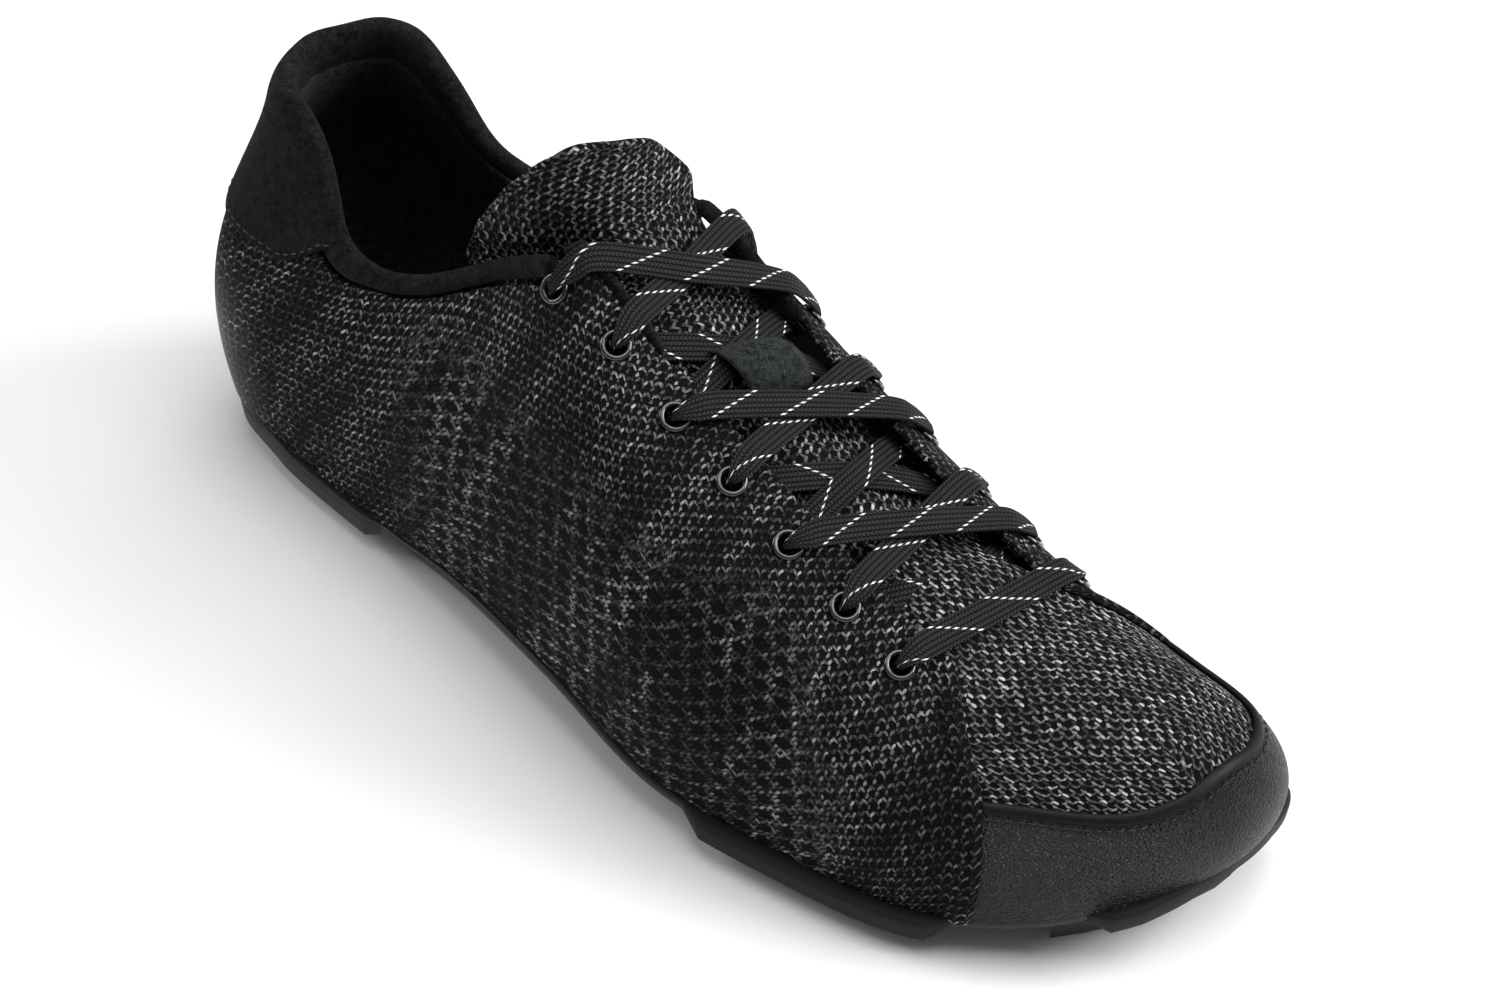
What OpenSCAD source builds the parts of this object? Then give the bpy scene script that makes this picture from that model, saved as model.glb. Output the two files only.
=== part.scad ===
// Lace-up cycling shoe with a knitted upper, right foot, all sizes in mm.
// X runs from heel to toe, Y to the wearer's left (the inner side), Z up.
// The ground is z = 0. Every panel of the upper is a patch of one foot-shaped
// surface, the last, thickened between two depths below or above it.

/* [Upper] */
// Thickness of the knitted fabric
knit_t = 1.6; // [1.4:0.1:1.7]
// Distance from the instep line to each row of eyelets
eyelet_reach = 25.5; // [25:0.5:26]
// Distance from the instep line to each lacing edge
facing_reach = 17; // [16.5:0.5:17.5]

/* [Lace] */
// Width of the flat lace
lace_w = 7; // [6:0.5:7]
// Thickness of the flat lace
lace_t = 1.3; // [1:0.1:1.4]

/* [Sole] */
// Thickness of the stiff outsole plate
plate_t = 4; // [3.5:0.5:4.5]
// How far the cleat plate sits from its middle position, along the shoe
cleat_offset = 0; // [-6:1:6]

/* [Hidden] */

gap = 0.25;         // air between stacked layers
puff_t = 1.2;       // heel counter and toe puff
lining_t = 1;
film_t = 0.8;       // toe cap and heel panel
counter_top = -(knit_t + gap + 0.1);
lining_top = counter_top - puff_t - gap;
lining_bottom = lining_top - lining_t;

// Stations of the last, heel to toe, numbered 0 to 11.
// Where the upper meets the sole, on the outer and on the inner side.
feather_out = [[-136, 4.5, 14], [-130, -19.5, 12], [-111, -24.5, 10], [-81, -27.5, 9],
               [-47, -31.5, 13], [-11, -38.5, 14], [25, -44.5, 10.5], [59, -42, 10],
               [91, -35, 10], [115, -20.5, 14], [131, -1.5, 19], [138, 16.5, 22]];
feather_in = [[-136, 4.5, 14], [-130, 26.5, 12], [-111, 29.5, 10], [-81, 32, 9],
              [-47, 29.5, 16], [-11, 37, 17], [25, 42.5, 11], [59, 43, 10],
              [91, 44, 10], [117, 43, 14], [133, 36.5, 19], [138, 16.5, 22]];
// The top of the last: x, y of the middle, half width, z.
// It is an oval round the ankle, then one line down the instep.
top_line = [[-127, 4.5, 0, 112], [-118, 4.5, 17, 111], [-99, 4.5, 21, 107], [-79, 4.5, 17, 114],
            [-59, 5.5, 14, 116], [-41, 8, 3, 130], [-13, 8.5, 0, 101], [19, 8.5, 0, 83],
            [49, 9, 0, 68], [73, 10.5, 0, 55], [93, 11.5, 0, 51.5], [103, 13.5, 0, 50]];
// How each cross-section leaves the sole (outward), and how tall its lower and upper curves stand.
spread = [13, 13, 12, 11, 10, 9, 8, 8, 7, 6, 5, 5];
lower_fullness = [0.58, 0.58, 0.58, 0.60, 0.62, 0.60, 0.60, 0.55, 0.50, 0.57, 0.65, 0.65];
upper_fullness = [0.35, 0.35, 0.35, 0.39, 0.43, 0.55, 0.63, 0.63, 0.62, 0.61, 0.59, 0.59];
inner_fullness = [0, 0, 0, 0, 0, 0.1, 0.2, 0.2, 0.18, 0.08, 0, 0];  // less on the inner side
ridge = [0, 0, 0, 0, 0.1, 0.6, 1, 1, 1, 1, 1, 1];   // 0 an upright wall, 1 a rounded ridge
last_station = 11;

// Height of the top edge of the shoe, every half station from the heel.
edge_heights = [105, 105, 106, 105, 96, 82, 79, 83, 90, 98, 106, 112, 118, 124];
seam_station = 8.7;    // where the side panels meet the toe box
cap_height = 38;        // top edge of the toe cap at its sides
cap_rise = 4;           // how much higher it is at the toe tip
panel_height = 68;      // lower edge of the suede heel panel

eyelet_stations = [5.15, 5.83, 6.37, 6.85, 7.33, 7.80, 8.25];
eyelet_r = 2.2;         // inside the tube
eyelet_wall = 0.3;
eyelet_depth = knit_t + 2.2;
flange_r = 3.5;
flange_h = 0.65;

lateral = -1;
medial = 1;

// ---------------------------------------------------------------- curves
function mix(a, b, t) = a + (b - a) * t;
function unit(v) = v / max(norm(v), 1e-9);
function flat(v) = [v.x, v.y, 0];

// Catmull-Rom curve through a list, read at a station number.
// before and after are the ghost entries that set the slope at the ends.
function through(list, s, before, after) =
    let (last = len(list) - 1,
         k = min(max(s, 0), last),
         i = min(floor(k), last - 1),
         t = k - i,
         a = i == 0 ? before : list[i - 1],
         b = list[i],
         c = list[i + 1],
         d = i == last - 1 ? after : list[i + 2])
    0.5 * (2 * b + (c - a) * t + (2 * a - 5 * b + 4 * c - d) * t * t + (3 * b - a - 3 * c + d) * t * t * t);
function smooth(list, s) =
    let (n = len(list) - 1)
    through(list, s, 2 * list[0] - list[1], 2 * list[n] - list[n - 1]);

function feather(side, s) =
    let (here = side < 0 ? feather_out : feather_in,
         there = side < 0 ? feather_in : feather_out)
    through(here, s, there[1], there[last_station - 1]);
function top(side, s) =
    let (n = last_station,
         first = [top_line[1][0], top_line[1][1], -top_line[1][2], top_line[1][3]],
         q = through(top_line, s, first, 2 * top_line[n] - top_line[n - 1]))
    [q[0], q[1] + side * q[2], q[3]];
function instep_y(s) = top(lateral, s).y;

// One cross-section of the last at a station, v = 0 at the sole and 1 at the top.
function rib(side, s, v) =
    let (step = 0.01,
         foot = feather(side, s),
         head = top(side, s),
         along = unit(flat(feather(side, min(s + step, last_station)) - feather(side, max(s - step, 0)))),
         out = [-side * along.y, side * along.x, 0],
         rise = head.z - foot.z,
         across = flat(foot - head),
         run = top(side, min(s + step, last_station)) - top(side, max(s - step, 0)),
         slope = s > 5.5 ? run.z / run.x : 0,
         toe = min(max((s - 8.25) / 2.2, 0), 1),
         sideways = unit(mix([0, side, 0], unit(across), toe)),
         over = sideways + [0, 0, slope * sideways.x],
         reach = mix(abs(across.y), norm(across), toe),
         w = min(max(smooth(ridge, s), 0), 1),
         upper = smooth(upper_fullness, s) - (side > 0 ? smooth(inner_fullness, s) : 0),
         p1 = foot + out * smooth(spread, s) + [0, 0, smooth(lower_fullness, s) * rise],
         p2 = head - [0, 0, upper * rise * (1 - w)] + over * upper * reach * w,
         u = 1 - v)
    u * u * u * foot + 3 * u * u * v * p1 + 3 * u * v * v * p2 + v * v * v * head;

// A point at a depth from the last's surface, positive outwards.
function normal_at(side, s, v) =
    let (ds = s > last_station - 0.1 ? -0.08 : 0.08,
         dv = v > 0.9 ? -0.02 : 0.02,
         p = rib(side, s, v))
    unit(cross((rib(side, s + ds, v) - p) * sign(ds), (rib(side, s, v + dv) - p) * sign(dv)) * -side);
function skin(side, s, v, depth) = rib(side, s, v) + depth * normal_at(side, s, v);

// The v of a height, or of a sideways distance from the instep line, by halving.
function v_of_height(side, s, z, lo = 0, hi = 1, n = 9) =
    let (m = (lo + hi) / 2)
    n == 0 ? m
    : rib(side, s, m).z < z ? v_of_height(side, s, z, m, hi, n - 1)
    : v_of_height(side, s, z, lo, m, n - 1);
function v_of_reach(side, s, d, lo = 0, hi = 1, n = 9) =
    let (m = (lo + hi) / 2)
    n == 0 ? m
    : abs(rib(side, s, m).y - instep_y(s)) > d ? v_of_reach(side, s, d, m, hi, n - 1)
    : v_of_reach(side, s, d, lo, m, n - 1);

// Top edge of the side panels, a distance down from the true edge.
function edge_v(side, s, down) =
    let (by_height = s < 5.9 ? v_of_height(side, s, smooth(edge_heights, 2 * s) - down) : 1,
         by_reach = s > 4.6 ? v_of_reach(side, s, facing_reach + down) : 1)
    min(by_height, by_reach);

// A station on a loop: round the heel or round the toe, negative on the outer side.
function heel_loop(k, v, depth) = skin(k < 0 ? lateral : medial, abs(k), v, depth);
function toe_loop(k, v, depth) = skin(k < 0 ? lateral : medial, last_station - abs(k), v, depth);
function spaced(a, b, n) = [for (i = [0:n]) mix(a, b, i / n)];

// ---------------------------------------------------------------- solids
// A closed shell between an outer and an inner grid of points [row][column].
// Seen from outside, rows run one way and columns to their left.
// folded joins the last row's two halves, where both sides of the toe meet.
module shell(outer, inner, folded = false) {
    rows = len(outer) - 1;
    cols = len(outer[0]) - 1;
    wide = cols + 1;
    count = (rows + 1) * wide;
    function at(i, j) = i * wide + (folded && i == rows ? min(j, cols - j) : j);
    function quad(a, b, c, d) = [[a, b, c], [a, c, d]];
    function real(t) = t[0] != t[1] && t[1] != t[2] && t[2] != t[0];
    faces = [
        for (i = [0:rows - 1], j = [0:cols - 1])
            each quad(at(i, j), at(i, j + 1), at(i + 1, j + 1), at(i + 1, j)),
        for (i = [0:rows - 1], j = [0:cols - 1])
            each quad(count + at(i, j), count + at(i + 1, j), count + at(i + 1, j + 1), count + at(i, j + 1)),
        for (i = [0:rows - 1])
            each quad(at(i, 0), at(i + 1, 0), count + at(i + 1, 0), count + at(i, 0)),
        for (i = [0:rows - 1])
            each quad(at(i + 1, cols), at(i, cols), count + at(i, cols), count + at(i + 1, cols)),
        for (j = [0:cols - 1])
            each quad(at(0, j + 1), at(0, j), count + at(0, j), count + at(0, j + 1)),
        for (j = [0:cols - 1])
            if (!folded) each quad(at(rows, j), at(rows, j + 1), count + at(rows, j + 1), count + at(rows, j))
    ];
    points = concat([for (r = outer) each r], [for (r = inner) each r]);
    polyhedron(points, [for (f = faces) if (real(f)) f]);
}

// A side panel: stations s0 to s1, from v0 up to the edge given by a list of v, one per station.
module side_patch(side, stations, v0, tops, outer_depth, inner_depth, columns) {
    function row(i, depth) =
        let (line = [for (t = spaced(v0, tops[i], columns)) skin(side, stations[i], t, depth)])
        side < 0 ? line : [for (j = [columns:-1:0]) line[j]];
    shell([for (i = [0:len(stations) - 1]) row(i, outer_depth)],
          [for (i = [0:len(stations) - 1]) row(i, inner_depth)]);
}

// A panel that goes round the heel from the inner to the outer side.
module heel_patch(loops, v0, tops, outer_depth, inner_depth, columns) {
    function row(i, depth) = [for (t = spaced(v0[i], tops[i], columns)) heel_loop(loops[i], t, depth)];
    shell([for (i = [0:len(loops) - 1]) row(i, outer_depth)],
          [for (i = [0:len(loops) - 1]) row(i, inner_depth)]);
}

// A panel that goes round the toe from the outer to the inner side.
module toe_patch(loops, v0, tops, outer_depth, inner_depth, columns) {
    function row(i, depth) = [for (t = spaced(v0, tops[i], columns)) toe_loop(loops[i], t, depth)];
    shell([for (i = [0:len(loops) - 1]) row(i, outer_depth)],
          [for (i = [0:len(loops) - 1]) row(i, inner_depth)]);
}

// A hood over the toe box, sole to sole across the instep line.
module toe_hood(stations, v0, outer_depth, inner_depth, columns) {
    function row(s, depth) = [
        for (t = spaced(-1, 1, 2 * columns))
            skin(t < 0 ? lateral : medial, s, mix(v0, 1, 1 - abs(t)), depth)];
    shell([for (s = stations) row(s, outer_depth)], [for (s = stations) row(s, inner_depth)], folded = true);
}

// A closed tube along a list of rings, each ring a list of points.
module tube(rings) {
    n = len(rings);
    m = len(rings[0]);
    walls = [for (i = [0:n - 2], j = [0:m - 1])
        let (a = i * m + j, b = i * m + (j + 1) % m)
        each [[a, b, b + m], [a, b + m, a + m]]];
    ends = [for (j = [1:m - 2]) each [[0, j + 1, j], [(n - 1) * m, (n - 1) * m + j, (n - 1) * m + j + 1]]];
    polyhedron([for (r = rings) each r], concat(walls, ends));
}

// Stands children on the last, their Z along the outward normal.
module on_skin(side, s, v) {
    n = normal_at(side, s, v);
    translate(rib(side, s, v)) rotate([0, acos(n.z), atan2(n.y, n.x)]) children();
}
module each_eyelet(side) {
    for (s = eyelet_stations) on_skin(side, s, v_of_reach(side, s, eyelet_reach)) children();
}

// ---------------------------------------------------------------- upper
module vamp() {
    color([0.16, 0.16, 0.17])
        toe_hood(spaced(seam_station, last_station, 11), 0, 0, -knit_t, 11);
}

// Stations of the side panels, closer together where the top edge turns.
quarter_stations = concat([0.02], spaced(0.25, 1.5, 5), spaced(1.65, 2.55, 6), spaced(2.8, 4.3, 5),
                          [4.48, 4.6, 4.75, 4.9], spaced(5.05, 5.95, 6), spaced(6.2, 8.3, 7),
                          [seam_station - 0.03]);
heel_half = [for (s = quarter_stations) if (s > 0.1 && s < 2.6) s];
function backwards(list) = [for (i = [len(list) - 1:-1:0]) list[i]];
heel_round = concat(backwards(heel_half), [0], [for (s = heel_half) -s]);

// Height of the suede roll round the opening, and so how far the knit stops below the edge.
function roll_height(s) = s > 3 ? 5 : s > 1.8 ? mix(14, 5, (s - 1.8) / 1.2) : 14;
function quarter_top(side, s) = edge_v(side, s, s < 5.25 ? roll_height(s) + 0.5 : s < 6.3 ? 2 : 0);

module quarter(side) {
    difference() {
        side_patch(side, quarter_stations, 0, [for (s = quarter_stations) quarter_top(side, s)],
                   0, -knit_t, 8);
        each_eyelet(side) cylinder(r = eyelet_r + eyelet_wall + 0.15, h = 12, center = true, $fn = 16);
    }
}
module lateral_quarter() color([0.17, 0.17, 0.18]) quarter(lateral);
module medial_quarter() color([0.17, 0.17, 0.18]) quarter(medial);

module toe_cap() {
    loops = spaced(seam_station - last_station + 0.02, last_station - seam_station - 0.02, 26);
    tops = [for (k = loops)
        let (height = cap_height + cap_rise * exp(-pow(k / 0.8, 2)))
        v_of_height(k < 0 ? lateral : medial, last_station - abs(k), height)];
    color([0.06, 0.06, 0.065]) toe_patch(loops, 0, tops, gap + film_t, gap, 5);
}

module heel_panel() {
    loops = spaced(2.45, -2.45, 26);
    sides = [for (k = loops) k < 0 ? lateral : medial];
    tops = [for (i = [0:26]) edge_v(sides[i], abs(loops[i]), roll_height(abs(loops[i])) - 1)];
    bottoms = [for (i = [0:26])
        let (upturn = 11 * pow(max(abs(loops[i]) - 1.9, 0) / 0.55, 1.5))
        v_of_height(sides[i], abs(loops[i]), panel_height + upturn)];
    color([0.07, 0.065, 0.075])
        heel_patch(loops, [for (i = [0:26]) min(bottoms[i], tops[i] - 0.02)], tops, gap + film_t, gap, 4);
}

module heel_strip() {
    loops = spaced(0.16, -0.16, 4);
    color([0.05, 0.05, 0.055])
        heel_patch(loops, [for (k = loops) 0.5], [for (k = loops) 0.8],
                   2 * gap + 2 * film_t, 2 * gap + film_t, 6);
}

// Suede roll round the opening, an oval section that thickens at the heel.
module collar() {
    front = [for (s = quarter_stations) if (s > 2.6 && s < 5.1) s];
    loops = concat(backwards(front), spaced(2.5, 1.6, 6), spaced(1.4, -1.4, 14),
                   spaced(-1.6, -2.5, 6), [for (s = front) -s]);
    sides = [for (k = loops) k < 0 ? lateral : medial];
    function half_depth(s) = s > 3 ? 2 : s > 1.8 ? mix(3.4, 2, (s - 1.8) / 1.2) : 3.4;
    rings = [for (i = [0:len(loops) - 1])
        let (s = abs(loops[i]),
             high = roll_height(s) / 2,
             deep = half_depth(s),
             v = edge_v(sides[i], s, high),
             middle = skin(sides[i], s, v, gap + film_t - deep),
             n = normal_at(sides[i], s, v),
             up = unit(skin(sides[i], s, min(v + 0.03, 1), 0) - skin(sides[i], s, v - 0.03, 0)))
        [for (a = [0:30:330]) middle + n * deep * cos(a) + up * high * sin(a)]];
    color([0.07, 0.065, 0.075]) tube(rings);
}

// Narrow suede binding down each lacing edge.
module facing_binding() {
    for (side = [lateral, medial]) {
        rings = [for (s = spaced(5.2, 6.17, 10))
            let (v = edge_v(side, s, 0.9),
                 middle = skin(side, s, v, -knit_t / 2),
                 n = normal_at(side, s, v),
                 up = unit(skin(side, s, v + 0.02, 0) - skin(side, s, v - 0.02, 0)))
            [for (a = [0:45:315]) middle + n * 1.2 * cos(a) + up * 0.95 * sin(a)]];
        color([0.07, 0.065, 0.075]) tube(side < 0 ? rings : [for (r = rings) [for (j = [7:-1:0]) r[j]]]);
    }
}

// ---------------------------------------------------------------- inside the upper
module vamp_lining() {
    color([0.2, 0.2, 0.2])
        toe_hood(spaced(seam_station + 0.14, last_station, 11), 0.02,
                 lining_top - 0.2, lining_bottom - 0.2, 11);
}

module quarter_lining() {
    side_half = concat(spaced(seam_station - 0.06, 5.4, 9), spaced(5.2, 2.8, 8));
    loops = concat(side_half, heel_round, [for (s = backwards(side_half)) -s]);
    tops = [for (k = loops)
        let (side = k < 0 ? lateral : medial, s = abs(k))
        min(edge_v(side, s, roll_height(s) + 2), s > 4.4 ? v_of_reach(side, s, eyelet_reach + 8.5) : 1)];
    color([0.2, 0.2, 0.2])
        heel_patch(loops, [for (k = loops) 0.02], tops, lining_top, lining_bottom, 5);
}

module heel_counter() {
    loops = heel_round;
    tops = [for (k = loops) v_of_height(k < 0 ? lateral : medial, abs(k), 62 - 3 * pow(abs(k), 2))];
    color([0.75, 0.72, 0.66])
        heel_patch(loops, [for (k = loops) 0.04], tops, counter_top, counter_top - puff_t, 5);
}

module toe_puff() {
    loops = spaced(-1.8, 1.8, 16);
    tops = [for (k = loops)
        v_of_height(k < 0 ? lateral : medial, last_station - abs(k), 37 + 3 * exp(-pow(k / 0.8, 2)))];
    color([0.75, 0.72, 0.66]) toe_patch(loops, 0.02, tops, counter_top, counter_top - puff_t, 4);
}

module eyestay(side) {
    stations = spaced(4.95, 8.6, 15);
    function row(s, depth) =
        let (low = v_of_reach(side, s, eyelet_reach + 7),
             high = v_of_reach(side, s, facing_reach + (s < 5.4 ? 6.5 : 2.4)),
             line = [for (v = spaced(low, high, 3)) skin(side, s, v, depth)])
        side < 0 ? line : backwards(line);
    difference() {
        shell([for (s = stations) row(s, -knit_t - 0.35)], [for (s = stations) row(s, -knit_t - 1.05)]);
        each_eyelet(side) cylinder(r = eyelet_r + eyelet_wall + 0.15, h = 12, center = true, $fn = 16);
    }
}
module lateral_eyestay() color([0.12, 0.12, 0.13]) eyestay(lateral);
module medial_eyestay() color([0.12, 0.12, 0.13]) eyestay(medial);

// Metal eyelet: a tube through the fabric with a rolled flange outside.
module eyelet() {
    rotate_extrude($fn = 32)
        polygon([[eyelet_r, -eyelet_depth], [eyelet_r + eyelet_wall, -eyelet_depth],
                 [eyelet_r + eyelet_wall, 0.15], [flange_r, 0.15], [flange_r, 0.45],
                 [flange_r - 0.4, flange_h], [eyelet_r + 0.4, flange_h], [eyelet_r, 0.4]]);
}
module washer() {
    rotate_extrude($fn = 32)
        translate([eyelet_r + eyelet_wall + 0.1, -eyelet_depth])
            square([flange_r - eyelet_r - eyelet_wall, 0.5]);
}
module lateral_eyelets() color([0.1, 0.1, 0.11]) each_eyelet(lateral) eyelet();
module medial_eyelets() color([0.1, 0.1, 0.11]) each_eyelet(medial) eyelet();
module lateral_washers() color([0.1, 0.1, 0.11]) each_eyelet(lateral) washer();
module medial_washers() color([0.1, 0.1, 0.11]) each_eyelet(medial) washer();

// ---------------------------------------------------------------- tongue
// The tongue in stations from its toe end: up to 4 it lies under the lacing, beyond that it
// stands free and curls round the ankle. The free end's middle line: x, z, bend radius, half width.
free_end = [[-21.5, 101, 30, 24], [-26.5, 109, 18, 27], [-29, 117, 16.5, 21],
            [-30.2, 124, 16.5, 14], [-30.5, 126.5, 16.5, 8]];
tongue_under = 6.9;     // depth of its face under the facings
tongue_rise = 3.7;      // how much higher it stands in the middle of the gap
function tongue_station(t) = t < 4 ? mix(9.2, 5.83, t / 4) : 5.83 - 0.28 * (t - 4);
function tongue_low(t, across, depth) =
    let (s = tongue_station(t),
         reach = across * (min(20 + 6 * t, 29) - 15 * min(max(t - 3.8, 0), 1)),
         side = reach < 0 ? lateral : medial,
         out = max(abs(reach), facing_reach),
         k = reach / facing_reach,
         edge = skin(side, s, v_of_reach(side, s, out), depth - tongue_under))
    abs(k) >= 1 ? edge
    : let (far = skin(-side, s, v_of_reach(-side, s, facing_reach), depth - tongue_under),
           up = unit(normal_at(lateral, s, 0.98) + normal_at(medial, s, 0.98)),
           bulge = tongue_rise * pow(1 - k * k, 2) * min(max((8.6 - s) / 0.4, 0), 1))
      mix(far, edge, (abs(k) + 1) / 2) + up * bulge;
function tongue_free(t, across, depth) =
    let (q = smooth(free_end, t - 4),
         step = 0.05,
         run = smooth(free_end, t - 4 + step) - smooth(free_end, t - 4 - step),
         n = unit([run[1], 0, -run[0]]),
         bend = q[2] * (across > 0 ? 1.2 : 1),
         angle = across * q[3] * (across > 0 ? 0.75 : 1) / bend * 180 / PI,
         r = bend + depth)
    [q[0], 5, q[1]] + r * sin(angle) * [0.35, 1, -0.25] + n * (r * cos(angle) - bend);
function tongue_at(t, across, depth) =
    let (k = min(max((t - 3.9) / 1.2, 0), 1),
         blend = k * k * (3 - 2 * k))
    blend == 0 ? tongue_low(t, across, depth)
    : blend == 1 ? tongue_free(t, across, depth)
    : mix(tongue_low(t, across, depth), tongue_free(t, across, depth), blend);
tongue_split = 4.6;     // where the free end starts to bend
tongue_t = 1.4;
module tongue_shell(t0, t1, rows, wide, outer_depth, inner_depth) {
    function grid(depth) = [
        for (t = spaced(t1, t0, rows)) [for (a = spaced(-wide, wide, 14)) tongue_at(t, a, depth)]];
    shell(grid(outer_depth), grid(inner_depth));
}
module tongue() color([0.2, 0.2, 0.21]) tongue_shell(0.2, tongue_split - 0.12, 12, 1, 0, -tongue_t);
module tongue_pad() {
    color([0.1, 0.1, 0.11])
        tongue_shell(1.2, tongue_split - 0.12, 9, 0.84, -tongue_t - 0.7, -tongue_t - 2.6);
}
module tongue_top() color([0.2, 0.2, 0.21]) tongue_shell(tongue_split + 0.12, 7.9, 10, 1, 0, -tongue_t);
module tongue_top_pad() {
    color([0.1, 0.1, 0.11])
        tongue_shell(tongue_split + 0.12, 7.2, 8, 0.8, -tongue_t - 0.35, -tongue_t - 3.2);
}

// Strap sewn on the tongue; the lace runs under it between the second and third pairs.
keeper_from = 2.99;
keeper_to = 3.72;
module lace_keeper() {
    function lift(t) = 0.3 + 6 * pow(sin(180 * (t - keeper_from) / (keeper_to - keeper_from)), 0.4);
    function grid(extra) = [
        for (t = spaced(keeper_to, keeper_from, 14))
            [for (y = spaced(-4, 9, 4)) tongue_at(t, y / 29, lift(t) + extra)]];
    color([0.13, 0.14, 0.14]) shell(grid(1.1), grid(0));
}

// ---------------------------------------------------------------- lace
// A lace section: where its middle is, which way its width lies, its width and thickness.
function lace_row(p, w, wide, thick) = [p, w, wide, thick];
function eyelet_v(side, k) = v_of_reach(side, eyelet_stations[k], eyelet_reach);
function eyelet_point(side, k, depth) = skin(side, eyelet_stations[k], eyelet_v(side, k), depth);
// Ribs lean back towards the top, so a straight lace meets the lacing edge at a later station.
function lean(side, s) = (side < 0 ? 4 : 8) / mix(24, 33, min(max((s - 5) / 1.2, 0), 1));
function gap_point(side, s, depth) = skin(side, s, v_of_reach(side, s, facing_reach), depth);
function lie(a, b, n) = unit(cross(b - a, n));

// From eyelet k0 on one side to k1 on the other, above (over) or below (under) the facings.
// near and edge are depths beside an eyelet and at the lacing edge; middle is the height over
// the line that joins the two edges.
function crossing(side, k0, k1, near, edge, middle) =
    let (s0 = eyelet_stations[k0],
         s1 = eyelet_stations[k1],
         sa = mix(s0, s1, 0.17) + lean(side, s0),
         sb = mix(s0, s1, 0.83) + lean(-side, s1),
         beside = mix(eyelet_reach, facing_reach, 0.45),
         sc = mix(s0, sa, 0.45),
         sd = mix(s1, sb, 0.45),
         start = skin(side, sc, v_of_reach(side, sc, beside), near),
         finish = skin(-side, sd, v_of_reach(-side, sd, beside), near),
         to_a = gap_point(side, sa, edge),
         to_b = gap_point(-side, sb, edge),
         up = unit(normal_at(lateral, (sa + sb) / 2, 0.98) + normal_at(medial, (sa + sb) / 2, 0.98)),
         level = (gap_point(side, sa, 0) + gap_point(-side, sb, 0)) / 2,
         na = normal_at(side, sa, v_of_reach(side, sa, facing_reach)),
         nb = normal_at(-side, sb, v_of_reach(-side, sb, facing_reach)))
    [lace_row(start, lie(start, to_a, na), lace_w * 0.92, lace_t),
     lace_row(to_a, lie(start, to_b, na), lace_w, lace_t),
     lace_row(level + middle * up, lie(to_a, to_b, up), lace_w, lace_t),
     lace_row(to_b, lie(to_a, finish, nb), lace_w, lace_t),
     lace_row(finish, lie(to_b, finish, nb), lace_w * 0.92, lace_t)];
// Through eyelet k, from depth a to depth b, while the width swings from w0 to w1.
function threading(side, k, a, b, w0, w1) = [
    for (t = [0, 0.5, 1])
        lace_row(eyelet_point(side, k, mix(a, b, t)), unit(mix(w0, w1, 0.25 + t / 2)), 2.3, 1.4)];

over = [2.3, 1.8];      // height above the panels, beside an eyelet and at the lacing edge
under = [-5.4, -4.9];    // depth below them
// The two eyelets of each crossing, then 1 if it lies over the facings or -1 under.
chain = [[6, 5, -1], [5, 4, 1], [4, 3, -1], [3, 2, 1], [2, 1, -1], [1, 0, 1]];
// Every crossing of one half of the lace, in order from the toe; the other half mirrors it.
function half_lace(side, level_over, level_under) = [
    for (i = [0:5])
        let (from = i % 2 == 0 ? side : -side, c = chain[i])
        c[2] > 0 ? crossing(from, c[0], c[1], over[0], over[1], level_over)
                 : crossing(from, c[0], c[1], under[0], under[1], level_under)];
function joined(side, legs) = [
    each threading(side, 6, 1.4, -4.6, [1, 0, 0], legs[0][0][1]),
    for (i = [0:5])
        let (to = i % 2 == 0 ? -side : side, c = chain[i],
             next = i < 5 ? legs[i + 1][0][1] : [1, 0, 0.2],
             depths = c[2] > 0 ? [1.4, -4.6] : [-4.6, 1.4])
        each concat(legs[i], threading(to, c[1], depths[0], depths[1], legs[i][4][1], next))];

// The ends hang inside, down the side and forward along the footbed.
tail_stations = [4.75, 4.45, 4.4, 4.6, 5.1, 5.8, 6.6, 7.3];
tail_v = [0.62, 0.50, 0.34, 0.22, 0.175, 0.17, 0.185, 0.20];
tail_depth = [-6.5, -7.5, -8, -9, -10.5, -12, -12.5, -12.5];
function tail(side) = [for (i = [0:7])
    let (p = skin(side, tail_stations[i], tail_v[i], tail_depth[i]))
    lace_row(p, i < 3 ? [1, 0, 0] : i == 3 ? unit([1, 0, 0.9]) : [0, 0.25 * side, 1], lace_w, lace_t)];

half_a = joined(lateral, half_lace(lateral, 3.2, -0.3));
half_b = joined(medial, half_lace(medial, 1.5, -2.0));
lateral_tail = concat([lace_row(eyelet_point(lateral, 0, -5.6), [1, 0, 0.2], 5, 1.5)], tail(lateral));
medial_tail = concat([lace_row(eyelet_point(medial, 0, -5.6), [1, 0, 0.2], 5, 1.5)], tail(medial));
bar = crossing(lateral, 6, 6, over[0], over[1], 2);
lace_rows = concat(backwards(lateral_tail), backwards(half_a), bar, half_b, medial_tail);

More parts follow.
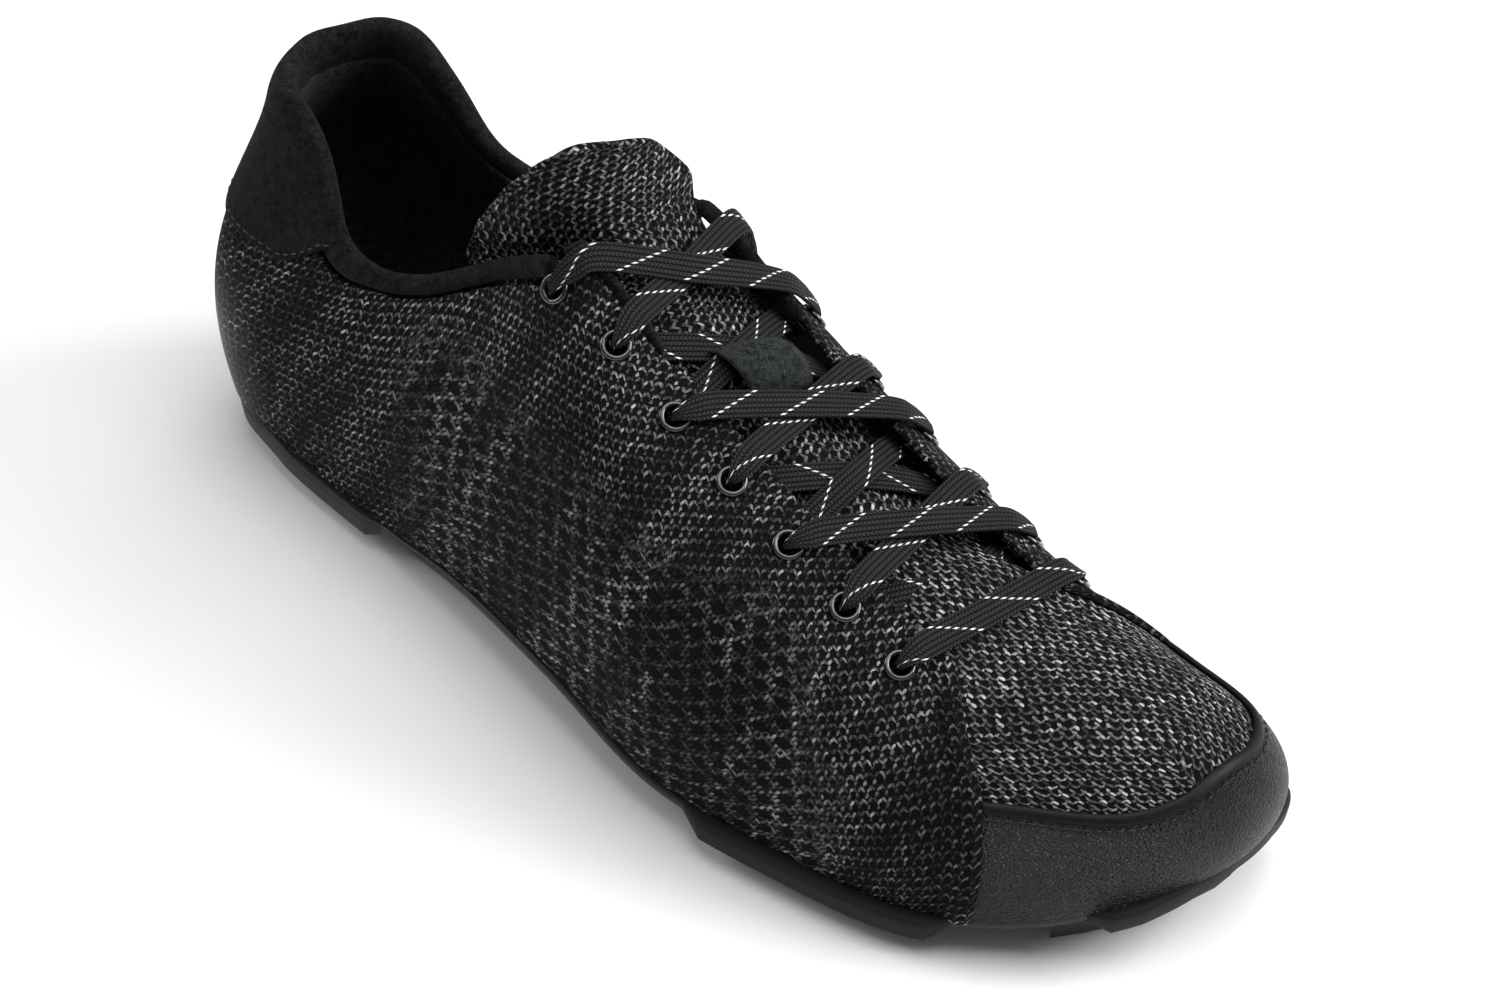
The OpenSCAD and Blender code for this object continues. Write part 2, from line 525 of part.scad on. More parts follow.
module lace() {
    n = len(lace_rows) - 1;
    path = [for (r = lace_rows) r[0]];
    // The width keeps to one side of the lace all along it.
    function aligned(i, before) =
        let (w = lace_rows[i][1], kept = w * before < 0 ? -w : w)
        i == n ? [kept] : concat([kept], aligned(i + 1, kept));
    widths = aligned(0, lace_rows[0][1]);
    rings = [for (k = [0:0.5:n])
        let (p = smooth(path, k),
             ahead = unit(smooth(path, min(k + 0.1, n)) - smooth(path, max(k - 0.1, 0))),
             i = min(floor(k), n - 1),
             t = k - i,
             w0 = mix(widths[i], widths[i + 1], t),
             w = unit(w0 - (w0 * ahead) * ahead),
             up = cross(ahead, w),
             wide = mix(lace_rows[i][2], lace_rows[i + 1][2], t) / 2,
             thick = mix(lace_rows[i][3], lace_rows[i + 1][3], t) / 2)
        [for (c = [[1, 0], [0.75, 1], [-0.75, 1], [-1, 0], [-0.75, -1], [0.75, -1]])
            p + w * wide * c[0] + up * thick * c[1]]];
    color([0.1, 0.1, 0.11]) tube([for (r = rings) [for (j = [5:-1:0]) r[j]]]);
}

// Stiff tips on the lace ends.
module aglets() {
    for (end = [lateral_tail, medial_tail]) {
        a = end[len(end) - 2][0];
        b = end[len(end) - 1][0];
        d = unit(b - a);
        color([0.08, 0.08, 0.08])
            translate(b + d * 0.3) rotate([0, acos(d.z), atan2(d.y, d.x)])
                cylinder(r = 1.5, h = 18, $fn = 24);
    }
}

// ---------------------------------------------------------------- sole
mid_x = 1;
half_length = 137;
// A point of the bottom: station, c = -1 at the outer edge and 1 at the inner, drawn in by inset.
function ground_plan(s, c, inset, dz) =
    let (a = feather(lateral, s), b = feather(medial, s),
         half = (b - a) / 2,
         keep = max(norm(flat(half)) - inset, 2.5) / norm(flat(half)))
    let (p = (a + b) / 2 + half * c * keep)
    [mid_x + (p.x - mid_x) * (1 - inset / half_length), p.y, p.z + dz];
module slab(stations, columns, top_inset, top_dz, low_inset, low_dz) {
    shell([for (s = stations) [for (c = columns) ground_plan(s, c, top_inset, top_dz)]],
          [for (s = stations) [for (c = columns) ground_plan(s, c, low_inset, low_dz)]]);
}
bottom_stations = concat([0.12, 0.3, 0.6], spaced(1, 10, 18), [10.4, 10.7, 10.88]);

plate_top = -0.3;
plate_bottom = plate_top - plate_t;
board_top = 3.5;
cleat_x = 49;
cleat_y = 0;
bolt_x = 11;         // spacing of the cleat bolts along the shoe
bolt_y = 14;         // and across it
slot_r = 2.9;
slot_l = 36;
screws = [[-115, -9], [-115, 17], [49, -33], [75, -30], [49, 36], [77, 38]];

module slot() {
    cube([slot_l - 2 * slot_r, 2 * slot_r, 30], center = true);
    for (x = [-1, 1] * (slot_l / 2 - slot_r))
        translate([x, 0, 0]) cylinder(r = slot_r, h = 30, center = true, $fn = 32);
}

module outsole() {
    color([0.07, 0.07, 0.075]) difference() {
        slab(bottom_stations, spaced(-1, 1, 6), 0.8, plate_top, 2.6, plate_bottom);
        for (y = [-1, 1] * bolt_y / 2) translate([cleat_x, cleat_y + y, 8]) slot();
        for (p = screws) translate([p.x, p.y, -1]) cylinder(r = 1.55, h = 9.4, $fn = 24);
    }
}

// A tread: its top follows the plate, its bottom lies flat on the ground, shorter by taper at each end.
module tread(stations, c0, c1, taper) {
    n = len(stations) - 1;
    function top_row(s) = [for (c = spaced(c0, c1, 4)) ground_plan(s, c, 1.4, plate_bottom - 0.25)];
    function low_row(i) =
        let (pull = i == 0 ? taper : i == n ? -taper : 0)
        [for (c = spaced(c0 + 0.06, c1 - 0.06, 4))
            let (p = ground_plan(stations[i], c, 3.2, 0))
            [p.x + pull, p.y, 0]];
    difference() {
        shell([for (s = stations) top_row(s)], [for (i = [0:n]) low_row(i)]);
        for (p = screws) translate([p.x, p.y, -1]) {
            cylinder(r = 1.55, h = 20, $fn = 24);
            cylinder(r = 3.1, h = 3.3, $fn = 24);
        }
    }
}
module heel_tread() color([0.1, 0.11, 0.11]) tread(concat([0.35, 0.65], spaced(1, 3.05, 6)), -1, 1, 3);
module lateral_tread() color([0.07, 0.07, 0.075]) tread(spaced(6.25, 8.3, 8), -1, -0.42, 4);
module medial_tread() color([0.07, 0.07, 0.075]) tread(spaced(6.45, 8.35, 8), 0.38, 1, 4);
module toe_tread() {
    color([0.07, 0.07, 0.075])
        slab(concat(spaced(9.05, 10.4, 5), [10.7]), spaced(-0.96, 0.9, 5),
             0.9, plate_bottom - 0.25, 3.2, plate_bottom - 7.6);
}
module tread_screws() {
    color([0.5, 0.5, 0.52]) for (p = screws) translate([p.x, p.y, 0]) {
        translate([0, 0, 0.9]) cylinder(r = 2.8, h = 1.3, $fn = 24);
        translate([0, 0, 2]) cylinder(r = 1.4, h = 6, $fn = 24);
    }
}

module insole_board() {
    color([0.55, 0.5, 0.42]) difference() {
        slab(bottom_stations, spaced(-1, 1, 4), 5, board_top, 5, 0.4);
        translate([cleat_x - 29, cleat_y - 15, 0]) cube([58, 30, 30]);
    }
}
module cleat_plate() {
    color([0.6, 0.6, 0.62]) translate([cleat_x + cleat_offset, cleat_y, 11.1]) difference() {
        translate([-12, -12, 0]) cube([24, 24, 2.2]);
        for (x = [-1, 1] * bolt_x / 2, y = [-1, 1] * bolt_y / 2)
            translate([x, y, -1]) cylinder(r = 2.5, h = 5, $fn = 32);
    }
}
module cleat_seal() {
    color([0.7, 0.7, 0.68])
        slab(spaced(5.7, 7.7, 8), spaced(-0.45, 0.42, 2), 0, board_top + 0.55, 0, board_top + 0.25);
}

// Removable footbed: cupped round the heel and raised under the arch.
module footbed() {
    stations = concat([10.8, 10.5], spaced(10, 1, 14), [0.6, 0.3]);
    columns = [1, 0.86, 0.5, 0, -0.5, -0.86, -1];
    function cup(s, c) =
        let (rim = pow(abs(c), 4) * mix(6, 1.5, min(max((s - 2.5) / 4, 0), 1)),
             arch = c > 0 ? 4 * c * c * exp(-pow((s - 4.6) / 1.3, 2)) : 0)
        rim + arch;
    color([0.16, 0.16, 0.17]) shell(
        [for (s = stations) [for (c = columns) ground_plan(s, c, 5.8, 7.6 + cup(s, c))]],
        [for (s = stations) [for (c = columns) ground_plan(s, c, 6.3, 5.1 + 0.75 * cup(s, c))]]);
}

vamp();
lateral_quarter();
medial_quarter();
toe_cap();
heel_panel();
heel_strip();
collar();
facing_binding();
vamp_lining();
quarter_lining();
heel_counter();
toe_puff();
tongue();
tongue_pad();
tongue_top();
tongue_top_pad();
lace_keeper();
lateral_eyestay();
medial_eyestay();
lateral_eyelets();
medial_eyelets();
lateral_washers();
medial_washers();
lace();
aglets();
insole_board();
footbed();
outsole();
heel_tread();
lateral_tread();
medial_tread();
toe_tread();
tread_screws();
cleat_plate();
cleat_seal();
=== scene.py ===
"""Looks of a lace-up knit cycling shoe, right foot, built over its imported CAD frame.

X runs from heel to toe, Y to the inner side and Z up. Shapes are worked out in
millimetres and become metres when a mesh is made. Every panel of the upper is a
patch of one foot-shaped surface, the last, between two depths below or above it.
"""
import math

import bpy
import numpy as np
from mathutils import Matrix, Vector


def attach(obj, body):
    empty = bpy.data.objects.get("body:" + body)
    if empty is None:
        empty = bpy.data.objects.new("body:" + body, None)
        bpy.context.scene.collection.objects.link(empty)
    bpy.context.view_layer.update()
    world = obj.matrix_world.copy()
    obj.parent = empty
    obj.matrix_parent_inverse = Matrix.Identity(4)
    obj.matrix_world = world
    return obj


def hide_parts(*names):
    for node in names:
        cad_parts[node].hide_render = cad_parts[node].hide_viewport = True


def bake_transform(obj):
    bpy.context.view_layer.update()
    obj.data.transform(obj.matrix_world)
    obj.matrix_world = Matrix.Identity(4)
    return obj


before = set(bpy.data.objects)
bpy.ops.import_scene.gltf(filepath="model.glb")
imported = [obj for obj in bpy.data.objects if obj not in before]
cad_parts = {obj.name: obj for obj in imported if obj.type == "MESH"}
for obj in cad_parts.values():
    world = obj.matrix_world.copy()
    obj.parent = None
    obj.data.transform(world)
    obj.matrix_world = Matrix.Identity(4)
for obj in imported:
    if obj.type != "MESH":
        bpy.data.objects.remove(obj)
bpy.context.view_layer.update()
scene = bpy.context.scene

MM = 0.001
LATERAL, MEDIAL = -1, 1
SIDES = {LATERAL: "lateral", MEDIAL: "medial"}

# ---------------------------------------------------------------- sizes
KNIT_T = 1.6
GAP = 0.25
FILM_T = 0.8
STAY_ROOM = 1.3         # between the knit and the lining, for the eyestays
LINING_TOP = -(KNIT_T + STAY_ROOM + 2 * GAP)
LINING_BOTTOM = LINING_TOP - 1
FACING_REACH = 17       # from the instep line to each lacing edge
EYELET_REACH = 25.5     # and to each row of eyelets
EYELET_STATIONS = np.array([5.15, 5.83, 6.37, 6.85, 7.33, 7.80, 8.25])
EYELET_HOLE_R = 2.75
LACE_W, LACE_T = 6.4, 1.3
SEAM_STATION = 8.7      # where the side panels meet the toe box
CAP_HEIGHT, CAP_RISE = 38, 4
PANEL_HEIGHT = 68       # lower edge of the suede heel panel
LAST = 11               # the last station, at the toe

# Where the upper meets the sole, station by station from the heel.
FEATHER = {
    LATERAL: np.array([
        (-136, 4.5, 14), (-130, -19.5, 12), (-111, -24.5, 10), (-81, -27.5, 9), (-47, -31.5, 13),
        (-11, -38.5, 14), (25, -44.5, 10.5), (59, -42, 10), (91, -35, 10), (115, -20.5, 14), (131, -1.5, 19),
        (138, 16.5, 22)]),
    MEDIAL: np.array([
        (-136, 4.5, 14), (-130, 26.5, 12), (-111, 29.5, 10), (-81, 32, 9), (-47, 29.5, 16), (-11, 37, 17),
        (25, 42.5, 11), (59, 43, 10), (91, 44, 10), (117, 43, 14), (133, 36.5, 19), (138, 16.5, 22)]),
}
# The top of the last: x, y of the middle, half width, z.
TOP_LINE = np.array([
    (-127, 4.5, 0, 112), (-118, 4.5, 17, 111), (-99, 4.5, 21, 107), (-79, 4.5, 17, 114), (-59, 5.5, 14, 116),
    (-41, 8, 3, 130), (-13, 8.5, 0, 101), (19, 8.5, 0, 83), (49, 9, 0, 68), (73, 10.5, 0, 55),
    (93, 11.5, 0, 51.5), (103, 13.5, 0, 50)])
SPREAD = [13, 13, 12, 11, 10, 9, 8, 8, 7, 6, 5, 5]
LOWER_FULLNESS = [0.58, 0.58, 0.58, 0.60, 0.62, 0.60, 0.60, 0.55, 0.50, 0.57, 0.65, 0.65]
UPPER_FULLNESS = [0.35, 0.35, 0.35, 0.39, 0.43, 0.55, 0.63, 0.63, 0.62, 0.61, 0.59, 0.59]
INNER_FULLNESS = [0, 0, 0, 0, 0, 0.1, 0.2, 0.2, 0.18, 0.08, 0, 0]
RIDGE = [0, 0, 0, 0, 0.1, 0.6, 1, 1, 1, 1, 1, 1]
# Height of the top edge of the shoe, every half station from the heel.
EDGE_HEIGHTS = [105, 105, 106, 105, 96, 82, 79, 83, 90, 98, 106, 112, 118, 124]


# ---------------------------------------------------------------- the last
def mix(a, b, t):
    return a + (b - a) * t


def ease(x):
    """Rises smoothly from 0 at 0 to 1 at 1."""
    x = np.clip(x, 0, 1)
    return x * x * (3 - 2 * x)


def norm(v):
    return np.linalg.norm(v, axis=-1)


def unit(v):
    return v / np.maximum(norm(v), 1e-9)[..., None]


def through(points, s, before, after):
    """A Catmull-Rom curve through a list of points, read at station numbers."""
    ghosted = np.vstack([before, points, after])
    k = np.clip(np.asarray(s, float), 0, len(points) - 1)
    i = np.minimum(k.astype(int), len(points) - 2)
    t = (k - i)[..., None]
    a, b, c, d = (ghosted[i + j] for j in range(4))
    cubic = (3 * b - a - 3 * c + d) * t**3
    return 0.5 * (2 * b + (c - a) * t + (2 * a - 5 * b + 4 * c - d) * t**2 + cubic)


def smooth(values, s):
    """The same curve through plain numbers or points, with straight ends."""
    points = np.array(values, float)
    if points.ndim == 1:
        return smooth(points[:, None], s)[..., 0]
    return through(points, s, 2 * points[0] - points[1], 2 * points[-1] - points[-2])


def feather(side, s):
    there = FEATHER[-side]
    return through(FEATHER[side], s, there[1], there[LAST - 1])


def top(side, s):
    before = TOP_LINE[1] * [1, 1, -1, 1]
    q = through(TOP_LINE, s, before, 2 * TOP_LINE[-1] - TOP_LINE[-2])
    return np.stack([q[..., 0], q[..., 1] + side * q[..., 2], q[..., 3]], -1)


def rib(side, s, v):
    """Points of one side of the last: v = 0 at the sole and 1 at the top."""
    s, v = np.broadcast_arrays(np.asarray(s, float), np.asarray(v, float))
    foot, head = feather(side, s), top(side, s)
    ahead, behind = np.minimum(s + 0.01, LAST), np.maximum(s - 0.01, 0)
    along = unit((feather(side, ahead) - feather(side, behind)) * [1, 1, 0])
    out = np.stack([-side * along[..., 1], side * along[..., 0], 0 * s], -1)
    rise = (head - foot)[..., 2:]
    across = (foot - head) * [1, 1, 0]
    run = top(side, ahead) - top(side, behind)
    slope = np.where(s > 5.5, run[..., 2] / np.where(s > 5.5, run[..., 0], 1), 0)
    # The ribs run square across the shoe, and towards the toe they turn to fan out from one point.
    toe = np.clip((s - 8.25) / 2.2, 0, 1)[..., None]
    sideways = unit(mix(np.array([0, side, 0]), unit(across), toe))
    over = sideways + np.stack([0 * s, 0 * s, slope * sideways[..., 0]], -1)
    reach = mix(abs(across[..., 1:2]), norm(across)[..., None], toe)
    w = np.clip(smooth(RIDGE, s), 0, 1)[..., None]
    upper = smooth(UPPER_FULLNESS, s)[..., None]
    if side == MEDIAL:
        upper = upper - smooth(INNER_FULLNESS, s)[..., None]
    up = np.array([0, 0, 1])
    p1 = foot + out * smooth(SPREAD, s)[..., None] + up * smooth(LOWER_FULLNESS, s)[..., None] * rise
    p2 = head - up * upper * rise * (1 - w) + over * upper * reach * w
    v = v[..., None]
    u = 1 - v
    return u**3 * foot + 3 * u**2 * v * p1 + 3 * u * v**2 * p2 + v**3 * head


def rib_normal(side, s, v):
    s, v = np.broadcast_arrays(np.asarray(s, float), np.asarray(v, float))
    ds = np.where(s > LAST - 0.1, -0.08, 0.08)
    dv = np.where(v > 0.9, -0.02, 0.02)
    p = rib(side, s, v)
    along = (rib(side, s + ds, v) - p) * np.sign(ds)[..., None]
    up = (rib(side, s, v + dv) - p) * np.sign(dv)[..., None]
    normal = unit(np.cross(along, up) * -side)
    # All ribs of the toe box end in one point, where only "upwards" is steady.
    pole = np.clip((s - 9.5) / 0.6, 0, 1) * np.clip((v - 0.86) / 0.08, 0, 1)
    return unit(mix(normal, np.array([0.15, 0, 1]), pole[..., None]))


def either(shape, side, s, v):
    """One of the two functions above, where side is an array too."""
    side, s, v = np.broadcast_arrays(side, np.asarray(s, float), np.asarray(v, float))
    return np.where(side[..., None] < 0, shape(LATERAL, s, v), shape(MEDIAL, s, v))


def normal_at(side, s, v):
    return either(rib_normal, side, s, v)


def skin(side, s, v, depth=0.0):
    """A point at a depth from the last's surface, positive outwards."""
    depth = np.asarray(depth, float)[..., None]
    return either(rib, side, s, v) + depth * normal_at(side, s, v)


def halve(too_low, shape):
    """The v, for each point of a shape, where too_low(v) turns false."""
    lo, hi = np.zeros(shape), np.ones(shape)
    for _ in range(14):
        middle = (lo + hi) / 2
        low = too_low(middle)
        lo, hi = np.where(low, middle, lo), np.where(low, hi, middle)
    return (lo + hi) / 2


def v_of_height(side, s, z):
    side, s, z = np.broadcast_arrays(side, s, z)
    return halve(lambda v: either(rib, side, s, v)[..., 2] < z, s.shape)


def v_of_reach(side, s, distance):
    side, s, distance = np.broadcast_arrays(side, np.asarray(s, float), distance)
    middle = top(LATERAL, s)[..., 1] / 2 + top(MEDIAL, s)[..., 1] / 2
    return halve(lambda v: abs(either(rib, side, s, v)[..., 1] - middle) > distance, s.shape)


def at_reach(side, s, distance, depth=0.0):
    """A point at a distance from the instep line, measured sideways, and at a depth."""
    return skin(side, s, v_of_reach(side, s, distance), depth)


def edge_v(side, s, down=0.0):
    """Top edge of the side panels, a distance down from the true edge."""
    s = np.asarray(s, float)
    # Round the ankle its height is given, and along the lacing its distance from the instep line.
    by_height = np.where(s < 5.9, v_of_height(side, s, smooth(EDGE_HEIGHTS, 2 * s) - down), 1)
    by_reach = np.where(s > 4.6, v_of_reach(side, s, FACING_REACH + down), 1)
    return np.minimum(by_height, by_reach)


def roll_height(s):
    """Height of the suede roll round the opening."""
    return np.interp(s, [1.8, 3], [14, 5])


def sides_of(loop):
    """Side numbers along a loop whose stations are negative on the outer side."""
    return np.where(np.asarray(loop) < 0, LATERAL, MEDIAL)


# ---------------------------------------------------------------- meshes
def add_mesh(name, points, faces, uv=None):
    """A smooth mesh of quads from points in mm, turned right side out. A repeated corner makes a triangle."""
    points = np.asarray(points, float).reshape(-1, 3)
    a, b, c, d = (points[faces[:, k]] for k in range(4))
    if (a * (np.cross(b, c) + np.cross(c, d))).sum() < 0:
        faces = faces[:, ::-1]
    faces = [list(dict.fromkeys(face)) for face in faces.tolist()]
    corners = [k for face in faces for k in face]
    mesh = bpy.data.meshes.new(name)
    mesh.from_pydata((points * MM).tolist(), [], faces)
    if uv is None:
        uv = np.zeros((len(points), 2))
    layer = mesh.uv_layers.new(name="cloth")
    layer.data.foreach_set("uv", uv.reshape(-1, 2)[corners].ravel())
    mesh.polygons.foreach_set("use_smooth", [True] * len(faces))
    mesh.update()
    piece = bpy.data.objects.new(name, mesh)
    scene.collection.objects.link(piece)
    return piece


def grid_faces(rows, columns, wrap=False):
    i, j = np.meshgrid(np.arange(rows - 1), np.arange(columns if wrap else columns - 1), indexing="ij")
    a = i * columns + j
    b = i * columns + (j + 1) % columns
    return np.stack([a, b, b + columns, a + columns], -1).reshape(-1, 4)


def cloth_uv(points, zero=None):
    """Distances along and across a grid of points, in mm; zero is the column where across is 0."""
    along = np.concatenate([[0], np.cumsum(norm(np.diff(points, axis=0)).mean(1))])
    steps = norm(np.diff(points, axis=1))
    across = np.concatenate([np.zeros((len(points), 1)), np.cumsum(steps, axis=1)], axis=1)
    if zero is not None:
        across = across - across[:, zero:zero + 1]
    return np.stack([np.broadcast_to(along[:, None], across.shape), across], -1)


def fine(lo, hi, count):
    """Evenly spaced numbers with closer ones at both ends, where a panel's edge is rounded."""
    step = 1 / count
    ends = np.array([0, 0.12, 0.4]) * step
    return mix(lo, hi, np.concatenate([ends, np.linspace(0, 1, count + 1)[1:-1], (1 - ends)[::-1]]))


def rounding(rows, columns, folded):
    """How far a panel's faces draw together towards its edges, on a grid made with fine()."""
    def fall(count, both):
        step = np.arange(count)
        if both:
            step = np.minimum(step, step[::-1])
        return np.interp(step, [0, 1, 2, 3], [1, 0.5, 0.15, 0])
    return np.maximum(fall(rows, not folded)[:, None], fall(columns, True)[None, :])


def shell(name, place, rows, columns, outer, inner, zero=None, holes=(), flatten=None, folded=False):
    """A closed cloth panel. place(a, b, depth) gives its points, and holes are centres and radii.
    flatten turns points into cloth distances where the grid's own lines are too far from straight.
    A folded panel's last row is no edge: its two halves meet there."""
    a, b = np.meshgrid(rows, columns, indexing="ij")
    drawn = rounding(len(rows), len(columns), folded)
    middle = (outer + inner) / 2
    front = place(a, b, mix(outer, middle, drawn))
    back = place(a, b, mix(inner, middle, drawn))
    uv = (flatten(front) if flatten else cloth_uv(front, zero)).reshape(-1, 2)
    points = np.concatenate([front.reshape(-1, 3), back.reshape(-1, 3)])
    faces = grid_faces(*a.shape)
    for centre, radius in holes:
        faces = faces[norm(points[faces].mean(1) - centre) > radius]
    # Walls join the two faces along every edge that only one face uses.
    start, end = np.concatenate([faces[:, [k, (k + 1) % 4]] for k in range(4)]).T
    border = ~np.isin(start * a.size + end, end * a.size + start)
    start, end = start[border], end[border]
    walls = np.stack([end, start, start + a.size, end + a.size], -1)
    faces = np.concatenate([faces, faces[:, ::-1] + a.size, walls])
    return add_mesh(name, points, faces, np.concatenate([uv, uv]))


def turns(count):
    """Angles spread evenly round a circle."""
    return np.linspace(0, 2 * np.pi, count, endpoint=False)


def squared(wave, power):
    """A sine or cosine made fuller, for a section between round and square."""
    return np.sign(wave) * abs(wave) ** power


def travelled(path):
    """The distance along a path to each of its points."""
    return np.concatenate([[0], np.cumsum(norm(np.diff(path, axis=0)))])


def swept(path, out, up, x, y):
    """Rings along a path: a section whose x lies along out and whose y lies along up."""
    return path[:, None] + out[:, None] * x[..., None] + up[:, None] * y[..., None]


def tube(name, rings, closed=False):
    """A tube through rings of points, its UV in mm along and around."""
    count, around = rings.shape[:2]
    along = travelled(rings.mean(1))
    girth = norm(np.diff(rings, axis=1)).sum(1).mean() / around
    uv = np.stack(np.meshgrid(along, np.arange(around) * girth, indexing="ij"), -1).reshape(-1, 2)
    points = rings.reshape(-1, 3)
    faces = [grid_faces(count, around, wrap=True)]
    first = np.arange(around)
    last = first + (count - 1) * around
    after_first, after_last = np.roll(first, -1), np.roll(last, -1)
    if closed:
        faces.append(np.stack([last, after_last, after_first, first], -1))
    else:
        # A fan of triangles round a hub closes each end.
        hub = np.full(around, len(points))
        faces.append(np.stack([hub, after_first, first, first], -1))
        faces.append(np.stack([hub + 1, last, after_last, after_last], -1))
        points = np.concatenate([points, rings[[0, -1]].mean(1)])
        uv = np.concatenate([uv, [[0, 0], [along[-1], 0]]])
    return add_mesh(name, points, np.concatenate(faces), uv)


def frames_along(path, ups):
    """Directions along a path, and across it at right angles to the given upward ones."""
    ahead = unit(np.gradient(path, axis=0))
    across = unit(np.cross(ups, ahead))
    return ahead, across, np.cross(ahead, across)


def read_at(want, known, values):
    """Rows of values, given at known numbers, read off at the wanted ones."""
    return np.stack([np.interp(want, known, column) for column in values.T], -1)


def resampled(path, step, *others):
    """A path, and lists that go with it, at even steps."""
    along = travelled(path)
    want = np.linspace(0, along[-1], max(int(along[-1] / step), 2) + 1)
    return [read_at(want, along, values) for values in (path, *others)]


# The rings of one stitch: place along its half length and share of its thickness.
STITCH_RINGS = [(-1, 0.35), (-0.7, 0.9), (0, 1), (0.7, 0.9), (1, 0.35)]
STITCH_SIDES = 6


def stitches(name, path, ups, length, space, thick, lift):
    """A line of thread stitches lying on a surface, each a short bar with sunken ends."""
    path, ups = resampled(path, length + space, ups)
    ahead, across, up = frames_along(path, unit(ups))
    turn = turns(STITCH_SIDES)[:, None]
    bars = []
    for p, f, c, u in zip(path, ahead, across, up):
        for along, size in STITCH_RINGS:
            middle = p + f * along * length / 2 + u * (lift - 0.5 * thick * along**4)
            bars.append(middle + size * thick / 2 * (np.cos(turn) * c + np.sin(turn) * u))
    one = grid_faces(len(STITCH_RINGS), STITCH_SIDES, wrap=True)
    points_each = len(STITCH_RINGS) * STITCH_SIDES
    faces = np.concatenate([one + points_each * k for k in range(len(path))])
    return add_mesh(name, np.concatenate(bars), faces)


def standing(hint, up, where):
    """A turn that takes Z to up, with X at right angles to a hint, and the place to move to."""
    x = unit(np.cross(hint, up))
    return np.stack([x, np.cross(up, x), up], -1), where


def lathe(name, profile, spots, around=40):
    """Rings turned about Z from (radius, height) points, one at each of the spots from standing()."""
    turn = turns(around)
    r, z = np.array(profile, float).T[..., None]
    points = np.stack([r * np.cos(turn), r * np.sin(turn), z + 0 * turn], -1).reshape(-1, 3)
    faces = grid_faces(len(profile) + 1, around, wrap=True) % len(points)
    placed = np.concatenate([points @ rotation.T + where for rotation, where in spots])
    return add_mesh(name, placed, np.concatenate([faces + k * len(points) for k in range(len(spots))]))


# ---------------------------------------------------------------- materials
class Signal:
    """A number inside a material, so that a pattern can be written as arithmetic."""

    def __init__(self, net, socket):
        self.net = net
        self.socket = socket

    def __add__(self, other):
        return self.net.math("ADD", self, other)

    def __sub__(self, other):
        return self.net.math("SUBTRACT", self, other)

    def __rsub__(self, other):
        return self.net.math("SUBTRACT", other, self)

    def __mul__(self, other):
        return self.net.math("MULTIPLY", self, other)

    def __truediv__(self, other):
        return self.net.math("DIVIDE", self, other)

    __radd__ = __add__
    __rmul__ = __mul__

    def floor(self):
        return self.net.math("FLOOR", self)

    def fract(self):
        return self.net.math("FRACT", self)

    def size(self):
        return self.net.math("ABSOLUTE", self)

    def wave(self):
        """Sine of a number of turns, from 0 to 1."""
        return self.net.math("SINE", self * (2 * math.pi)) * 0.5 + 0.5

    def between(self, low, high):
        """Rises smoothly from 0 at low to 1 at high, or falls if low is the larger."""
        node = self.net.node("ShaderNodeMapRange", interpolation_type="SMOOTHSTEP")
        self.net.feed(node.inputs["Value"], self)
        rising = low < high
        node.inputs["From Min"].default_value = min(low, high)
        node.inputs["From Max"].default_value = max(low, high)
        node.inputs["To Min"].default_value = 0 if rising else 1
        node.inputs["To Max"].default_value = 1 if rising else 0
        return Signal(self.net, node.outputs["Result"])


